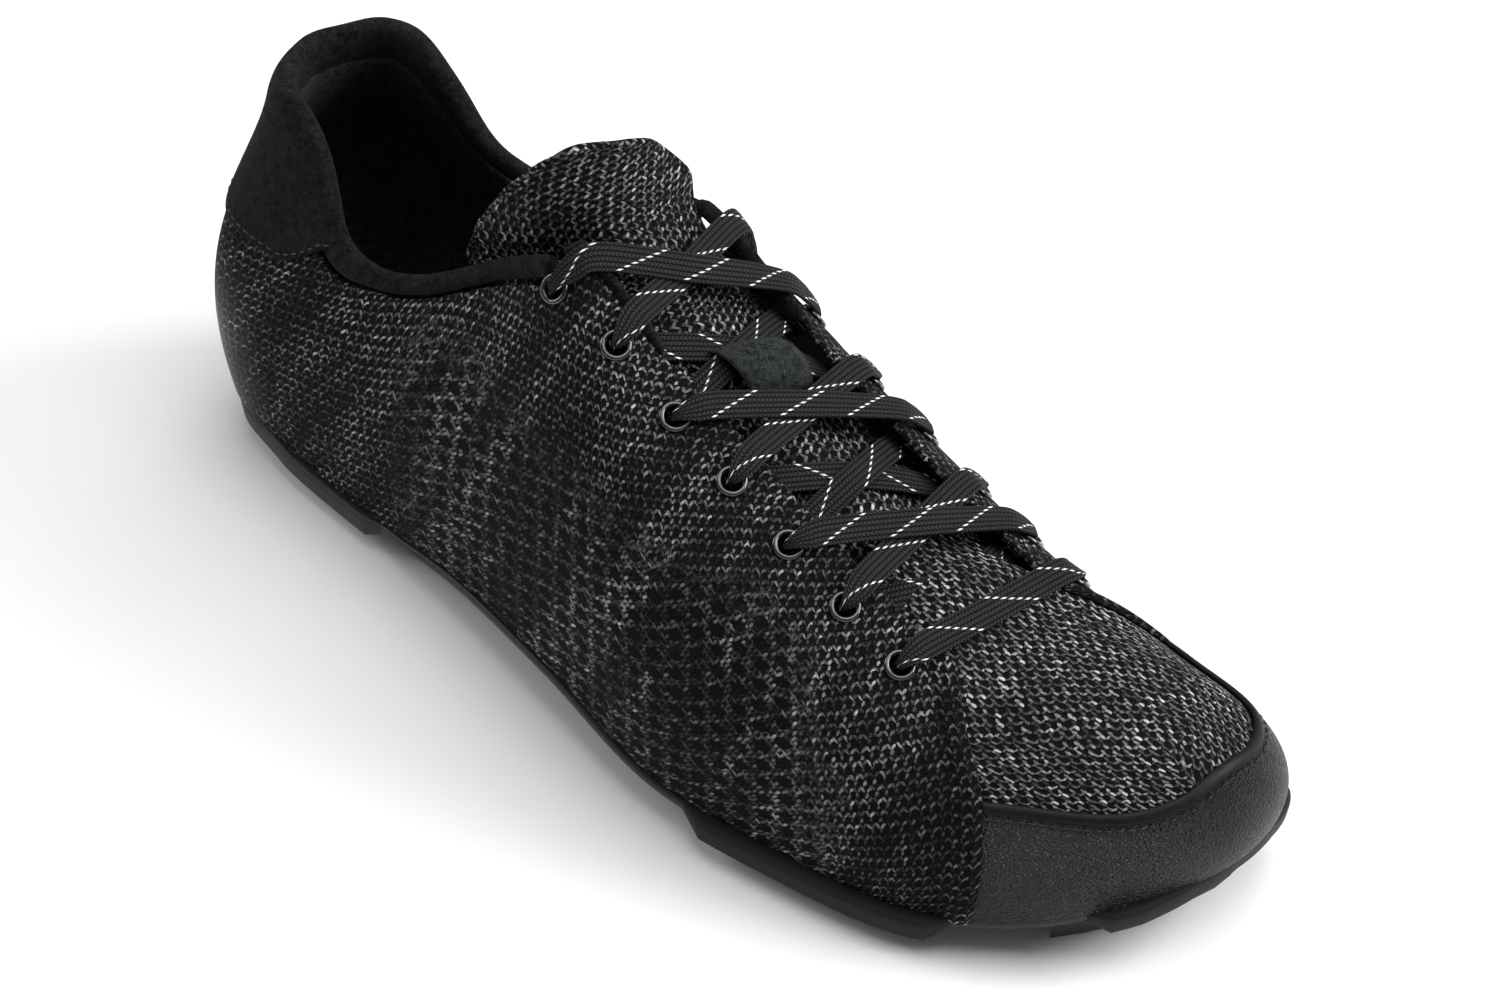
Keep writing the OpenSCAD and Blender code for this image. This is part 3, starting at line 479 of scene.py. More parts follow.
class Net:
    """Builds one material's nodes."""

    def __init__(self, name):
        self.material = bpy.data.materials.new(name)
        self.material.use_nodes = True
        self.tree = self.material.node_tree
        self.tree.nodes.clear()

    def node(self, kind, **settings):
        node = self.tree.nodes.new(kind)
        for key, value in settings.items():
            setattr(node, key, value)
        return node

    def feed(self, socket, value):
        if isinstance(value, Signal):
            self.tree.links.new(value.socket, socket)
        else:
            socket.default_value = value

    def math(self, operation, a, b=0.0):
        node = self.node("ShaderNodeMath", operation=operation)
        self.feed(node.inputs[0], a)
        self.feed(node.inputs[1], b)
        return Signal(self, node.outputs[0])

    def least(self, a, b):
        return self.math("MINIMUM", a, b)

    def most(self, a, b):
        return self.math("MAXIMUM", a, b)

    def vector(self, x=0.0, y=0.0, z=0.0):
        node = self.node("ShaderNodeCombineXYZ")
        for socket, value in zip(node.inputs, (x, y, z)):
            self.feed(socket, value)
        return Signal(self, node.outputs[0])

    def cloth(self):
        """Distances in mm along and across the piece's cloth."""
        node = self.node("ShaderNodeUVMap", uv_map="cloth")
        split = self.node("ShaderNodeSeparateXYZ")
        self.tree.links.new(node.outputs[0], split.inputs[0])
        return Signal(self, split.outputs[0]), Signal(self, split.outputs[1])

    def place(self, scale=1.0):
        """Position on the resting shoe, in mm times a scale."""
        node = self.node("ShaderNodeTexCoord")
        split = self.node("ShaderNodeSeparateXYZ")
        self.tree.links.new(node.outputs["Object"], split.inputs[0])
        return [Signal(self, socket) * (scale / MM) for socket in split.outputs]

    def noise(self, x, y, z=0.0, detail=2.0, rough=0.5):
        node = self.node("ShaderNodeTexNoise")
        node.inputs["Scale"].default_value = 1
        node.inputs["Detail"].default_value = detail
        node.inputs["Roughness"].default_value = rough
        self.feed(node.inputs["Vector"], self.vector(x, y, z))
        return Signal(self, node.outputs["Fac"])

    def random(self, x, y, z):
        node = self.node("ShaderNodeTexWhiteNoise", noise_dimensions="3D")
        self.feed(node.inputs["Vector"], self.vector(x, y, z))
        return Signal(self, node.outputs["Value"])

    def crackle(self, x, y, z):
        """Distance to the nearest crack between small cells."""
        node = self.node("ShaderNodeTexVoronoi", feature="DISTANCE_TO_EDGE")
        node.inputs["Scale"].default_value = 1
        self.feed(node.inputs["Vector"], self.vector(x, y, z))
        return Signal(self, node.outputs["Distance"])

    def blend(self, amount, a, b):
        """A colour between two, by an amount from 0 to 1."""
        node = self.node("ShaderNodeMix", data_type="RGBA", clamp_factor=True)
        self.feed(node.inputs[0], amount)
        for socket, value in ((node.inputs[6], a), (node.inputs[7], b)):
            self.feed(socket, value if isinstance(value, Signal) else (*value, 1))
        return Signal(self, node.outputs[2])

    def finish(self, colour, roughness, height=None, depth=0.3, **constants):
        """Joins everything to the shader. depth is the relief of the height, in mm."""
        shader = self.node("ShaderNodeBsdfPrincipled")
        self.feed(shader.inputs["Base Color"], colour if isinstance(colour, Signal) else (*colour, 1))
        self.feed(shader.inputs["Roughness"], roughness)
        for name, value in constants.items():
            shader.inputs[name.replace("_", " ")].default_value = value
        if height is not None:
            bump = self.node("ShaderNodeBump")
            bump.inputs["Distance"].default_value = depth * MM
            self.feed(bump.inputs["Height"], height)
            self.tree.links.new(bump.outputs[0], shader.inputs["Normal"])
        output = self.node("ShaderNodeOutputMaterial")
        self.tree.links.new(shader.outputs[0], output.inputs[0])
        return self.material


def oval(x, y, a, b, angle=0.0):
    """1 in the middle of a tilted oval, 0 at and beyond its edge."""
    c, s = math.cos(math.radians(angle)), math.sin(math.radians(angle))
    along = (x * c + y * s) / a
    over = (y * c - x * s) / b
    distance = along * along + over * over
    return 1 - distance.net.least(distance, 1.0)


def repeat(net, u, v, across, up, shift=(0.0, 0.0)):
    """Place within one repeat of a knit, in mm from its middle, and a random number for that repeat.
    across and up are the steps, in mm of cloth, from one repeat to the next."""
    (ax, ay), (bx, by) = across, up
    size = ax * by - ay * bx
    i = u * (by / size) - v * (bx / size) + shift[0]
    j = v * (ax / size) - u * (ay / size) + shift[1]
    p, q = i.fract() - 0.5, j.fract() - 0.5
    luck = net.random(i.floor(), j.floor(), 7 * shift[0] + 3 * shift[1])
    return p * ax + q * bx, p * ay + q * by, luck


# The strokes of one knit loop: place in the repeat, which of the two tilts, and brightness.
STROKES = [((0.22, 0.05), 0, 1), ((-0.22, -0.05), 1, 0.6), ((0.5, 0.5), 0, 0.6)]
DARK_YARN = (0.0032, 0.0032, 0.0036)
GREY_YARN = (0.50, 0.50, 0.51)


def knit_pattern(net, u, v, across, up, hole, dash, tilts, every=(1, 1)):
    """Brightness and height of a knit: V-shaped loops of mottled yarn, one hole in every so many, painted
    dark as shade.
    hole and dash are the half sizes of a hole and of a stroke, in mm."""
    # The rows of loops wander a little.
    wander = net.noise(u * 0.3, v * 0.3, 3.0) - 0.5
    u = u + wander * 1.3
    v = v + wander
    light, relief = 0.0, 0.0
    for shift, which, share in STROKES:
        x, y, luck = repeat(net, u, v, across, up, shift)
        y = y + (luck - 0.5) * 0.5 + x * x * 0.12
        x = x + ((luck * 17).fract() - 0.5) * 0.5
        stroke = oval(x, y, *dash, tilts[which]).between(0.0, 0.55)
        relief = net.most(stroke, relief)
        light = net.most(stroke * (0.12 + 0.88 * luck * luck) * share, light)
    wide = [[count * c for c in step] for count, step in zip(every, (across, up))]
    x, y, luck = repeat(net, u, v, *wide, (0.0, 0.5 / every[1]))
    # The holes are not cut through the panel: each is painted almost black, painted shade where the real knit
    # is open.
    opening = (oval(x, y, *hole, tilts[0] / 2) - 0.25 * luck).between(0.0, 0.3)
    mottle = net.noise(u * 0.55, v * 0.55, 11.0, detail=3).between(0.36, 0.62)
    fluff = net.noise(u * 2.6, v * 2.6, 29.0)
    light = light * (0.35 + 0.65 * mottle) * (0.5 + fluff) + fluff.between(0.5, 0.75) * 0.06
    return light * (1 - opening * 0.97), relief * 0.7 + fluff * 0.25 - opening * 1.5


def quarter_knit():
    """Open heather knit of the sides, with large holes along the middle, under clear film low at the heel."""
    net = Net("knit")
    u, v = net.cloth()
    x, _, z = net.place()
    fine_light, fine_height = knit_pattern(
        net, u, v, (2.5, 0.75), (-0.1, 2.7), hole=(0.98, 1.0), dash=(1.0, 0.4), tilts=(48, -48))
    coarse_light, coarse_height = knit_pattern(
        net, u, v, (2.15, 0.95), (0.3, 2.3), hole=(2.5, 1.45), dash=(1.1, 0.4), tilts=(38, -52), every=(3, 2))
    # The large holes lie between 100 and 246 mm from the heel and up to 84 mm high, with ragged ends.
    edge = net.noise(u * 0.05, v * 0.05, 7.0) * 22
    along, up = u + edge, v + edge
    coarse = along.between(100.0, 118.0) * along.between(246.0, 232.0) * up.between(84.0, 66.0)
    light = mix(fine_light * 0.86, coarse_light * 0.72, coarse)
    height = mix(fine_height, coarse_height, coarse)
    # Diagonal shading where the yarns change over, strongest at the heel.
    slant = u * 0.84 - v * 0.54
    bands = net.noise(slant * 0.10, v * 0.012).between(0.43, 0.57)
    light = light * (0.40 + 0.85 * bands)
    # The clear film: round the back of the heel, fading out above 36 mm. Its lighter grey-green is painted
    # sheen; its lower roughness and flatter relief are real.
    film = x.between(-108.0, -128.0) * z.between(66.0, 36.0)
    yarn = net.blend(light, DARK_YARN, GREY_YARN)
    colour = net.blend(film * 0.45, yarn, (0.075, 0.085, 0.082))
    return net.finish(colour, 0.85 - film * 0.5, height * (1 - film * 0.75), 0.55, Specular_IOR_Level=0.08)


def fine_knit(name, across, up, tilts):
    """Denser two-tone knit of the toe box and tongue."""
    net = Net(name)
    u, v = net.cloth()
    light, height = knit_pattern(net, u, v, across, up, hole=(0.82, 0.82), dash=(1.0, 0.4), tilts=tilts)
    rows = net.noise(u * 0.09, v * 0.035, 1.0, detail=3).between(0.3, 0.7)
    colour = net.blend(light * 1.45 * (0.6 + 0.4 * rows), DARK_YARN, GREY_YARN)
    return net.finish(colour, 0.85, height, 0.5, Specular_IOR_Level=0.08)


def suede(name, tint, lift=1.0):
    """Brushed synthetic suede: soft nap with small light fibres, their lightness partly painted sheen."""
    net = Net(name)
    x, y, z = net.place(1.1)
    nap = net.noise(*net.place(0.5), detail=5, rough=0.75)
    # The light fibres are partly lighter fibres and partly painted sheen, the glint of the nap.
    fibres = net.noise(x, y, z * 2, detail=4, rough=0.8).between(0.50, 0.66)
    cloud = net.noise(*net.place(0.05)).between(0.3, 0.7)
    amount = nap.between(0.35, 0.65) * 0.3 + fibres * 0.6 + cloud * 0.1
    colour = net.blend(amount, [c * 0.15 for c in tint], [c * 3.2 * lift for c in tint])
    return net.finish(colour, 0.95, nap + fibres * 0.5, 0.5, Sheen_Weight=0.04, Sheen_Roughness=0.35,
                      Specular_IOR_Level=0.04)


def cap_leather():
    """Grained black microfibre with fine creases round the toe."""
    net = Net("cap_microfibre")
    u, v = net.cloth()
    creases = net.noise(u * 0.55, v * 1.5, detail=4, rough=0.6)
    grain = net.crackle(u, v * 1.5, 1.0).between(0.0, 0.3)
    cloud = net.noise(*net.place(0.06))
    light = creases * 0.4 + cloud * 0.4 + grain * 0.2
    colour = net.blend(light, (0.002, 0.002, 0.0022), (0.010, 0.010, 0.0105))
    roughness = 0.24 + creases * 0.2 + cloud * 0.08
    return net.finish(colour, roughness, grain * 0.9 + creases * 1.2, 1.1, Specular_IOR_Level=0.34)


def smooth_strip():
    """Plain rolled edge of the toe cap."""
    net = Net("cap_edge")
    soft = net.noise(*net.place(0.7), detail=3)
    colour = net.blend(soft, (0.003, 0.003, 0.0033), (0.008, 0.008, 0.0085))
    return net.finish(colour, 0.45 + soft * 0.1, soft, 0.06, Specular_IOR_Level=0.16)


def lace_braid():
    """Flat braided lace: herringbone ribs with slanted rows of small reflective white threads."""
    net = Net("lace")
    u, v = net.cloth()
    ribs = v / 1.2
    within = (ribs.fract() - 0.5).size()
    lean = (ribs / 2).fract().between(0.49, 0.51) * 2 - 1
    chevron = (u / 0.95 + within * lean * 1.1).wave()
    row_step = 16.0
    row = (u - v * 1.9) / row_step
    near_row = ((row.fract() - 0.5) * row_step).size().between(0.62, 0.32)
    dot = (v / 0.9 + 0.5).fract() - 0.5
    dots = near_row * dot.size().between(0.30, 0.18)
    groove_with_painted_shade = within.between(0.28, 0.48)
    thread = net.noise(u * 2.0, v * 5.0)
    # The grooves between the ribs are painted darker: painted shade, beside their real dip in the relief.
    light = (chevron * 0.6 + thread * 0.4) * (1 - groove_with_painted_shade * 0.85)
    base = net.blend(light, (0.002, 0.002, 0.002), (0.034, 0.033, 0.031))
    colour = net.blend(dots, base, (0.92, 0.92, 0.9))
    height = chevron * 0.6 + thread * 0.25 + dots * 0.5 - groove_with_painted_shade
    return net.finish(colour, 0.6, height, 0.22, Specular_IOR_Level=0.1)


def plain(name, low, high, roughness, scale, relief, **constants):
    """A solid material with a fine uneven grain."""
    net = Net(name)
    grain = net.noise(*net.place(scale), detail=4, rough=0.6)
    cloud = net.noise(*net.place(0.04))
    colour = net.blend(grain * 0.6 + cloud * 0.4, low, high)
    return net.finish(colour, roughness + (grain - 0.5) * 0.12, grain, relief, **constants)


def mesh_lining():
    """Fine black spacer mesh."""
    net = Net("lining")
    u, v = net.cloth()
    x, y, _ = repeat(net, u, v, (1.4, 0), (0.7, 0.8), (0, 0.5))
    # The openings are not cut: they are painted dark, painted shade where the real mesh is open.
    opening = oval(x, y, 0.45, 0.4).between(0.0, 0.5)
    soft = net.noise(u * 0.8, v * 0.8, detail=4)
    colour = net.blend(soft * (1 - opening * 0.8), (0.005, 0.005, 0.006), (0.032, 0.030, 0.036))
    return net.finish(colour, 0.95, soft * 0.5 - opening, 0.25, Specular_IOR_Level=0.05)


MATERIALS = {
    "knit": quarter_knit(),
    "toe_knit": fine_knit("toe_knit", (2.0, 1.75), (1.75, -1.2), (5, 80)),
    "tongue_knit": fine_knit("tongue_knit", (2.4, 0.5), (-0.4, 2.6), (40, -40)),
    "cap": cap_leather(),
    "cap_edge": smooth_strip(),
    "suede": suede("suede", (0.0115, 0.0114, 0.0122)),
    # A lighter copy of the black suede, for the lining and the tongue pad: painted light for the inside of
    # the shoe, which the lamps light less.
    "inner_suede_with_painted_light": suede("inner_suede_with_painted_light", (0.034, 0.033, 0.035)),
    "nubuck": suede("nubuck", (0.024, 0.028, 0.027), 1.1),
    "lace": lace_braid(),
    "lining": mesh_lining(),
    "tape": plain("eyestay_tape", (0.008, 0.008, 0.009), (0.03, 0.03, 0.033), 0.8, 1.4, 0.2),
    "dark_thread": plain("dark_thread", (0.002, 0.002, 0.002), (0.008, 0.008, 0.009), 0.7, 3.0, 0.1),
    "thread": plain("thread", (0.010, 0.010, 0.011), (0.034, 0.034, 0.037), 0.6, 3.0, 0.1),
    "enamel": plain("black_metal", (0.004, 0.004, 0.004), (0.010, 0.010, 0.011), 0.22, 0.6, 0.02,
                    Coat_Weight=0.6, Coat_Roughness=0.08, Specular_IOR_Level=0.6),
    "aglet": plain("aglet", (0.008, 0.008, 0.008), (0.02, 0.02, 0.02), 0.25, 0.8, 0.03, Coat_Weight=0.5),
    "plate": plain("plate", (0.004, 0.004, 0.0045), (0.010, 0.010, 0.011), 0.45, 1.2, 0.05,
                   Specular_IOR_Level=0.3),
    "tread": plain("tread_rubber", (0.004, 0.0044, 0.0043), (0.011, 0.012, 0.0115), 0.62, 1.6, 0.12,
                   Specular_IOR_Level=0.2),
    "heel_tread": plain("heel_rubber", (0.008, 0.009, 0.0088), (0.018, 0.020, 0.019), 0.5, 1.6, 0.12,
                        Specular_IOR_Level=0.3),
    "steel": plain("steel", (0.35, 0.35, 0.36), (0.6, 0.6, 0.61), 0.35, 0.8, 0.03, Metallic=1.0),
    "board": plain("board", (0.18, 0.15, 0.11), (0.38, 0.33, 0.26), 0.8, 0.8, 0.1),
    "stiffener": plain("stiffener", (0.4, 0.37, 0.31), (0.62, 0.58, 0.5), 0.6, 0.6, 0.05),
    "seal": plain("seal_film", (0.4, 0.4, 0.38), (0.6, 0.6, 0.57), 0.35, 0.5, 0.03),
    "reflective": plain("reflective_strip", (0.03, 0.03, 0.032), (0.10, 0.10, 0.105), 0.25, 2.5, 0.05,
                        Metallic=0.6),
    "footbed": suede("footbed_cloth", (0.02, 0.02, 0.022)),
}


def dress(piece, material, slot, *nodes, body="upper"):
    """Gives a piece its material and its body, and hides the CAD nodes it stands for."""
    piece.data.materials.append(MATERIALS[material])
    if body:
        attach(piece, body)
    if nodes:
        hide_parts(*nodes)
    return piece


def sewn_in(piece):
    """Works out a panel's cut, the spread of its own distances over the last, and its area, and changes
    nothing.
    """
    mesh = piece.data
    distances = np.empty(2 * len(mesh.loops))
    mesh.uv_layers["cloth"].data.foreach_get("uv", distances)
    spread = np.ptp(distances.reshape(-1, 2), axis=0) * MM
    one_face = sum(face.area for face in mesh.polygons) / 2
    min(one_face, spread.prod())
    return piece


# ---------------------------------------------------------------- knitted panels
def eyelet_points(side, depth=0.0):
    return at_reach(side, EYELET_STATIONS, EYELET_REACH, depth)


def quarter_top(side, s):
    down = np.where(s < 5.25, roll_height(s) + 0.5, np.where(s < 6.3, 2.0, 0.0))
    return edge_v(side, s, down)


def slanted(s, v):
    """Stations near the toe-box seam, which slants back towards the sole."""
    return s - 0.32 * ease(1 - abs(s - SEAM_STATION) / 1.3) * np.clip(1 - v / 0.42, 0, 1)


def softened(values, width):
    """Evens out a row of numbers, keeping its ends."""
    kernel = np.ones(2 * width + 1) / (2 * width + 1)
    padded = np.pad(values, width, mode="edge")
    return np.convolve(padded, kernel, "valid")


def quarter(side):
    stations = fine(0.0, SEAM_STATION + 0.05, 250)
    edge = softened(quarter_top(side, stations), 3)

    def place(s, share, depth):
        v = share * np.interp(s, stations, edge)
        hem = KNIT_T * ease((s - SEAM_STATION + 0.2) / 0.15)    # it laps over the toe box
        return skin(side, slanted(s, v), v, depth + hem)

    holes = [(p, EYELET_HOLE_R) for p in eyelet_points(side)]
    panel = shell(SIDES[side] + "_knit", place, stations, fine(0, 1, 78), 0.0, -KNIT_T, holes=holes)
    sewn_in(dress(panel, "knit", "knit", SIDES[side] + "_quarter"))


def vamp():
    """Toe box; in the middle its rear edge dips under the lacing to meet the tongue."""
    def place(s, t, depth):
        side, v = sides_of(t), 1 - abs(t)
        reach = v_of_reach(side, s, FACING_REACH - 1.5)
        low = v_of_reach(side, np.minimum(s, SEAM_STATION), FACING_REACH + 4)
        v = np.where(s < SEAM_STATION, np.maximum(v, low), v)
        under_facings = np.where(s < SEAM_STATION - 0.02, 1.9, 0) * (v < reach)
        return skin(side, s, v, depth - 5.0 * ease((SEAM_STATION - s) / 0.55) - under_facings)

    def flatten(p):
        """Its top laid out flat, with the walls round the toe folded out beside it."""
        low = np.maximum(46 - p[..., 2], 0)
        return np.stack([p[..., 0] * 1.1 + low * 0.2, p[..., 1] + np.sign(p[..., 1] - 10) * low * 0.8], -1)

    panel = shell("toe_box_knit", place, fine(8.12, LAST, 80), fine(-1, 1, 130), 0.0, -KNIT_T,
                  flatten=flatten, folded=True)
    sewn_in(dress(panel, "toe_knit", "fine_knit", "vamp"))


for side in SIDES:
    quarter(side)
vamp()

# ---------------------------------------------------------------- toe cap and heel
def cap_top(k):
    return v_of_height(sides_of(k), LAST - abs(k), CAP_HEIGHT + CAP_RISE * np.exp(-(k / 0.8) ** 2))


def toe_cap():
    loops = fine(SEAM_STATION - LAST + 0.02, LAST - SEAM_STATION - 0.02, 150)
    edge = softened(cap_top(loops), 3)

    def place(k, share, depth):
        v = share * np.interp(k, loops, edge)
        return skin(sides_of(k), slanted(LAST - abs(k), v), v, depth)

    cap = shell("toe_cap_leather", place, loops, fine(0, 1, 40), GAP + FILM_T, GAP)
    dress(cap, "cap", "cap_microfibre", "toe_cap")
    # A smooth rolled strip along the top edge, and the stitch line just below it.
    k = np.linspace(loops[0], loops[-1], 200)
    v = np.interp(k, loops, edge)
    side, s = sides_of(k), LAST - abs(k)
    n = normal_at(side, s, v - 0.02)
    up = unit(skin(side, s, v) - skin(side, s, v - 0.06))
    middle = skin(side, s, v) + n * (GAP + 0.55) - up * 0.9
    turn = turns(16)
    strip = tube("toe_cap_edge", swept(middle, n, up, 0.75 * np.cos(turn), 1.5 * np.sin(turn)))
    dress(strip, "cap_edge", "cap_microfibre")
    line = middle - up * 2.4 + n * (FILM_T - 0.6)
    dress(stitches("toe_cap_stitches", line, n, 1.7, 0.6, 0.5, 0.1), "dark_thread", "cap_microfibre")


def heel_edges(loops):
    side, s = sides_of(loops), abs(loops)
    tops = edge_v(side, s, roll_height(s) * 0.6)
    # The lower edge sweeps up to the opening at both ends.
    rise = 11 * (np.maximum(s - 1.9, 0) / 0.55) ** 1.5
    bottoms = v_of_height(side, s, PANEL_HEIGHT + rise)
    return np.minimum(bottoms, tops - 0.02), tops


def heel_panel():
    loops = fine(2.45, -2.45, 130)
    bottoms, tops = heel_edges(loops)

    def place(k, share, depth):
        v = mix(np.interp(-k, -loops, bottoms), np.interp(-k, -loops, tops), share)
        return skin(sides_of(k), abs(k), v, depth)

    panel = shell("heel_panel_suede", place, loops, fine(0, 1, 34), GAP + FILM_T, GAP)
    sewn_in(dress(panel, "suede", "suede", "heel_panel"))
    k = np.linspace(2.42, -2.42, 160)
    bottom = np.interp(-k, -loops, bottoms)
    side, s = sides_of(k), abs(k)
    n = normal_at(side, s, bottom)
    line = skin(side, s, bottom + 0.022, GAP + FILM_T)
    dress(stitches("heel_panel_stitches", line, n, 1.9, 0.8, 0.45, 0.0), "thread", "suede")


def heel_strip():
    def place(k, v, depth):
        return skin(sides_of(k), abs(k), v, depth)
    strip = shell("heel_reflective_strip", place, fine(0.16, -0.16, 12), fine(0.5, 0.8, 26),
                  2 * GAP + 2 * FILM_T, 2 * GAP + FILM_T)
    dress(strip, "reflective", "reflective_strip", "heel_strip")


def roll_half_depth(s):
    """Half the depth of the suede roll round the opening, through the cloth."""
    return np.interp(s, [1.8, 3], [3.4, 2])


def collar():
    """Suede roll round the opening, fat and padded at the heel."""
    inner_side = np.linspace(5.05, 2.5, 90)
    loops = np.concatenate([inner_side, np.linspace(2.47, -2.47, 180), -inner_side[::-1]])
    side, s = sides_of(loops), abs(loops)
    high, deep = roll_height(s) / 2, roll_half_depth(s)
    v = softened(edge_v(side, s, high), 5)
    up = unit(skin(side, s, v + 0.02) - skin(side, s, v - 0.03))
    middle = skin(side, s, v, GAP + FILM_T - deep)
    turn = turns(40)
    wobble = 1 + 0.025 * np.sin(loops * 9)[:, None] * np.sin(turn * 2)
    outward = deep[:, None] * squared(np.cos(turn), 0.85) * wobble
    upward = high[:, None] * np.sin(turn) * wobble
    rings = swept(middle, normal_at(side, s, v), up, outward, upward)
    roll = dress(tube("collar_suede", rings), "suede", "suede", "collar")


def binding(side):
    s = np.linspace(5.2, 6.17, 60)
    v = softened(edge_v(side, s, 0.9), 3)
    up = unit(skin(side, s, v + 0.02) - skin(side, s, v - 0.02))
    middle = skin(side, s, v, -KNIT_T / 2)
    turn = turns(20)
    taper = np.interp(s, [5.2, 5.25, 6.12, 6.17], [0.7, 1, 1, 0.6])[:, None]
    rings = swept(middle, normal_at(side, s, v), up, taper * 1.9 * np.cos(turn), taper * 1.6 * np.sin(turn))
    dress(tube(SIDES[side] + "_binding", rings), "suede", "suede", "facing_binding")


toe_cap()
heel_panel()
heel_strip()
collar()
for side in SIDES:
    binding(side)


# ---------------------------------------------------------------- inside the upper
def quarter_lining():
    loops = fine(SEAM_STATION - 0.06, -(SEAM_STATION - 0.06), 330)
    side, s = sides_of(loops), abs(loops)
    by_edge = edge_v(side, s, roll_height(s) * 0.6)
    by_lace = np.where(s > 4.4, v_of_reach(side, s, EYELET_REACH + 8.5), 1)
    tops = softened(np.minimum(by_edge, by_lace), 3)

    def place(k, share, depth):
        v = mix(0.02, np.interp(-k, -loops, tops), share)
        # Near the top it swells inwards to meet the padded roll.
        roll = GAP + FILM_T - 2 * roll_half_depth(abs(k)) * np.interp(abs(k), [4.6, 4.9], [1, 0]) - 0.1
        swell = np.minimum(roll - LINING_BOTTOM, 0) * ease((share - 0.55) / 0.45)
        return skin(sides_of(k), abs(k), v, depth + swell)

    lining = shell("quarter_lining_suede", place, loops, fine(0, 1, 30), LINING_TOP, LINING_BOTTOM)
    sewn_in(dress(lining, "inner_suede_with_painted_light", "lining", "quarter_lining"))


def vamp_lining():
    def place(s, t, depth):
        return skin(sides_of(t), s, mix(0.02, 1, 1 - abs(t)), depth)
    lining = shell("toe_lining_mesh", place, fine(SEAM_STATION + 0.14, LAST, 40), fine(-1, 1, 80),
                   LINING_TOP - 0.2, LINING_BOTTOM - 0.2, folded=True)
    sewn_in(dress(lining, "lining", "lining", "vamp_lining"))


def eyestay(side):
    def place(s, share, depth):
        low = v_of_reach(side, s, EYELET_REACH + 7)
        high = v_of_reach(side, s, FACING_REACH + np.interp(s, [5.3, 5.5], [6.5, 2.4]))
        return skin(side, s, mix(low, high, share), depth)

    outer = -KNIT_T - 0.35
    holes = [(p, EYELET_HOLE_R + 0.05) for p in eyelet_points(side, outer)]
    tape = shell(SIDES[side] + "_eyestay_tape", place, fine(4.95, 8.6, 100), fine(0, 1, 14),
                 outer, outer - 0.7, holes=holes)
    dress(tape, "tape", "eyestay_tape", SIDES[side] + "_eyestay")


def eyelets(side):
    """Rolled metal rings with their tubes through the facing and washers behind."""
    inside, wall, flange = 2.2, 0.3, 3.5
    depth = KNIT_T + 2.2
    roll = [(mix(inside, flange, 0.5) + (flange - inside) / 2 * math.cos(a), 0.3 + 0.62 * math.sin(a))
            for a in np.linspace(-0.4, math.pi + 0.1, 14)]
    ring = roll + [(inside, 0.0), (inside, -depth), (inside + wall, -depth), (inside + wall, 0.1)]
    normals = normal_at(side, EYELET_STATIONS, v_of_reach(side, EYELET_STATIONS, EYELET_REACH))
    spots = [standing([0, 1, 0.1], n, p) for n, p in zip(normals, eyelet_points(side))]
    name = SIDES[side]
    dress(lathe(name + "_eyelet_rings", ring, spots), "enamel", "black_metal", name + "_eyelets")
    low, high = -depth, -depth + 0.5
    near, far = inside + wall + 0.1, flange + 0.1
    washer = [(near, low), (far, low), (far, high), (near, high)]
    dress(lathe(name + "_washer_rings", washer, spots), "enamel", "black_metal", name + "_washers")


quarter_lining()
vamp_lining()
for side in SIDES:
    eyestay(side)
for side in SIDES:
    eyelets(side)

# ---------------------------------------------------------------- tongue
# Its free end, station by station: x and z of the middle, radius of its bow and half width round it.
FREE_END = [
    (-21.5, 101, 30, 24), (-26.5, 109, 18, 27), (-29, 117, 16.5, 21), (-30.2, 124, 16.5, 14),
    (-30.5, 126.5, 16.5, 8)]
FREE_FROM = 4           # the tongue's station where that list starts
TONGUE_UNDER = 6.9
TONGUE_RISE = 3.7
TONGUE_T = 1.4
# How far the tongue's outer wing is carried, station by station: t, then x, y and z.
OUTER_WING = np.array([
    (3.7, 0, 0, 0), (4, -8, 0.5, -5), (4.3, -23, 1, -15), (4.5, -28, 2, -16), (4.7, -22.5, 2.5, -15.3),
    (4.9, -13.5, 2, -10.5), (5.1, -7.5, 1, -6.2), (5.4, -3, 0.5, -3), (5.8, -0.6, 0, -1.3),
    (6.3, 2, 0, 0), (6.8, 4, 0, 1), (7.3, 4, 0, 2), (7.9, 1, 0, 1)])


def facing_up(s):
    return unit(normal_at(LATERAL, s, 0.98 + 0 * s) + normal_at(MEDIAL, s, 0.98 + 0 * s))


def tongue_low(t, across, depth):
    """The fixed part: it bows up between the facings and lies under them at its sides."""
    s = np.where(t < 4, mix(9.2, 5.83, t / 4), 5.83 - 0.28 * (t - 4))
    reach = across * (np.minimum(20 + 6 * t, 29) - 15 * np.clip(t - 3.8, 0, 1))
    side = sides_of(reach)
    k = reach / FACING_REACH
    edge = at_reach(side, s, np.maximum(abs(reach), FACING_REACH), depth - TONGUE_UNDER)
    far = at_reach(-side, s, FACING_REACH, depth - TONGUE_UNDER)
    bulge = TONGUE_RISE * (1 - k * k) ** 2 * np.clip((8.6 - s) / 0.4, 0, 1)
    bridge = mix(far, edge, ((abs(k) + 1) / 2)[..., None]) + facing_up(s) * bulge[..., None]
    return np.where(abs(k)[..., None] >= 1, edge, bridge)


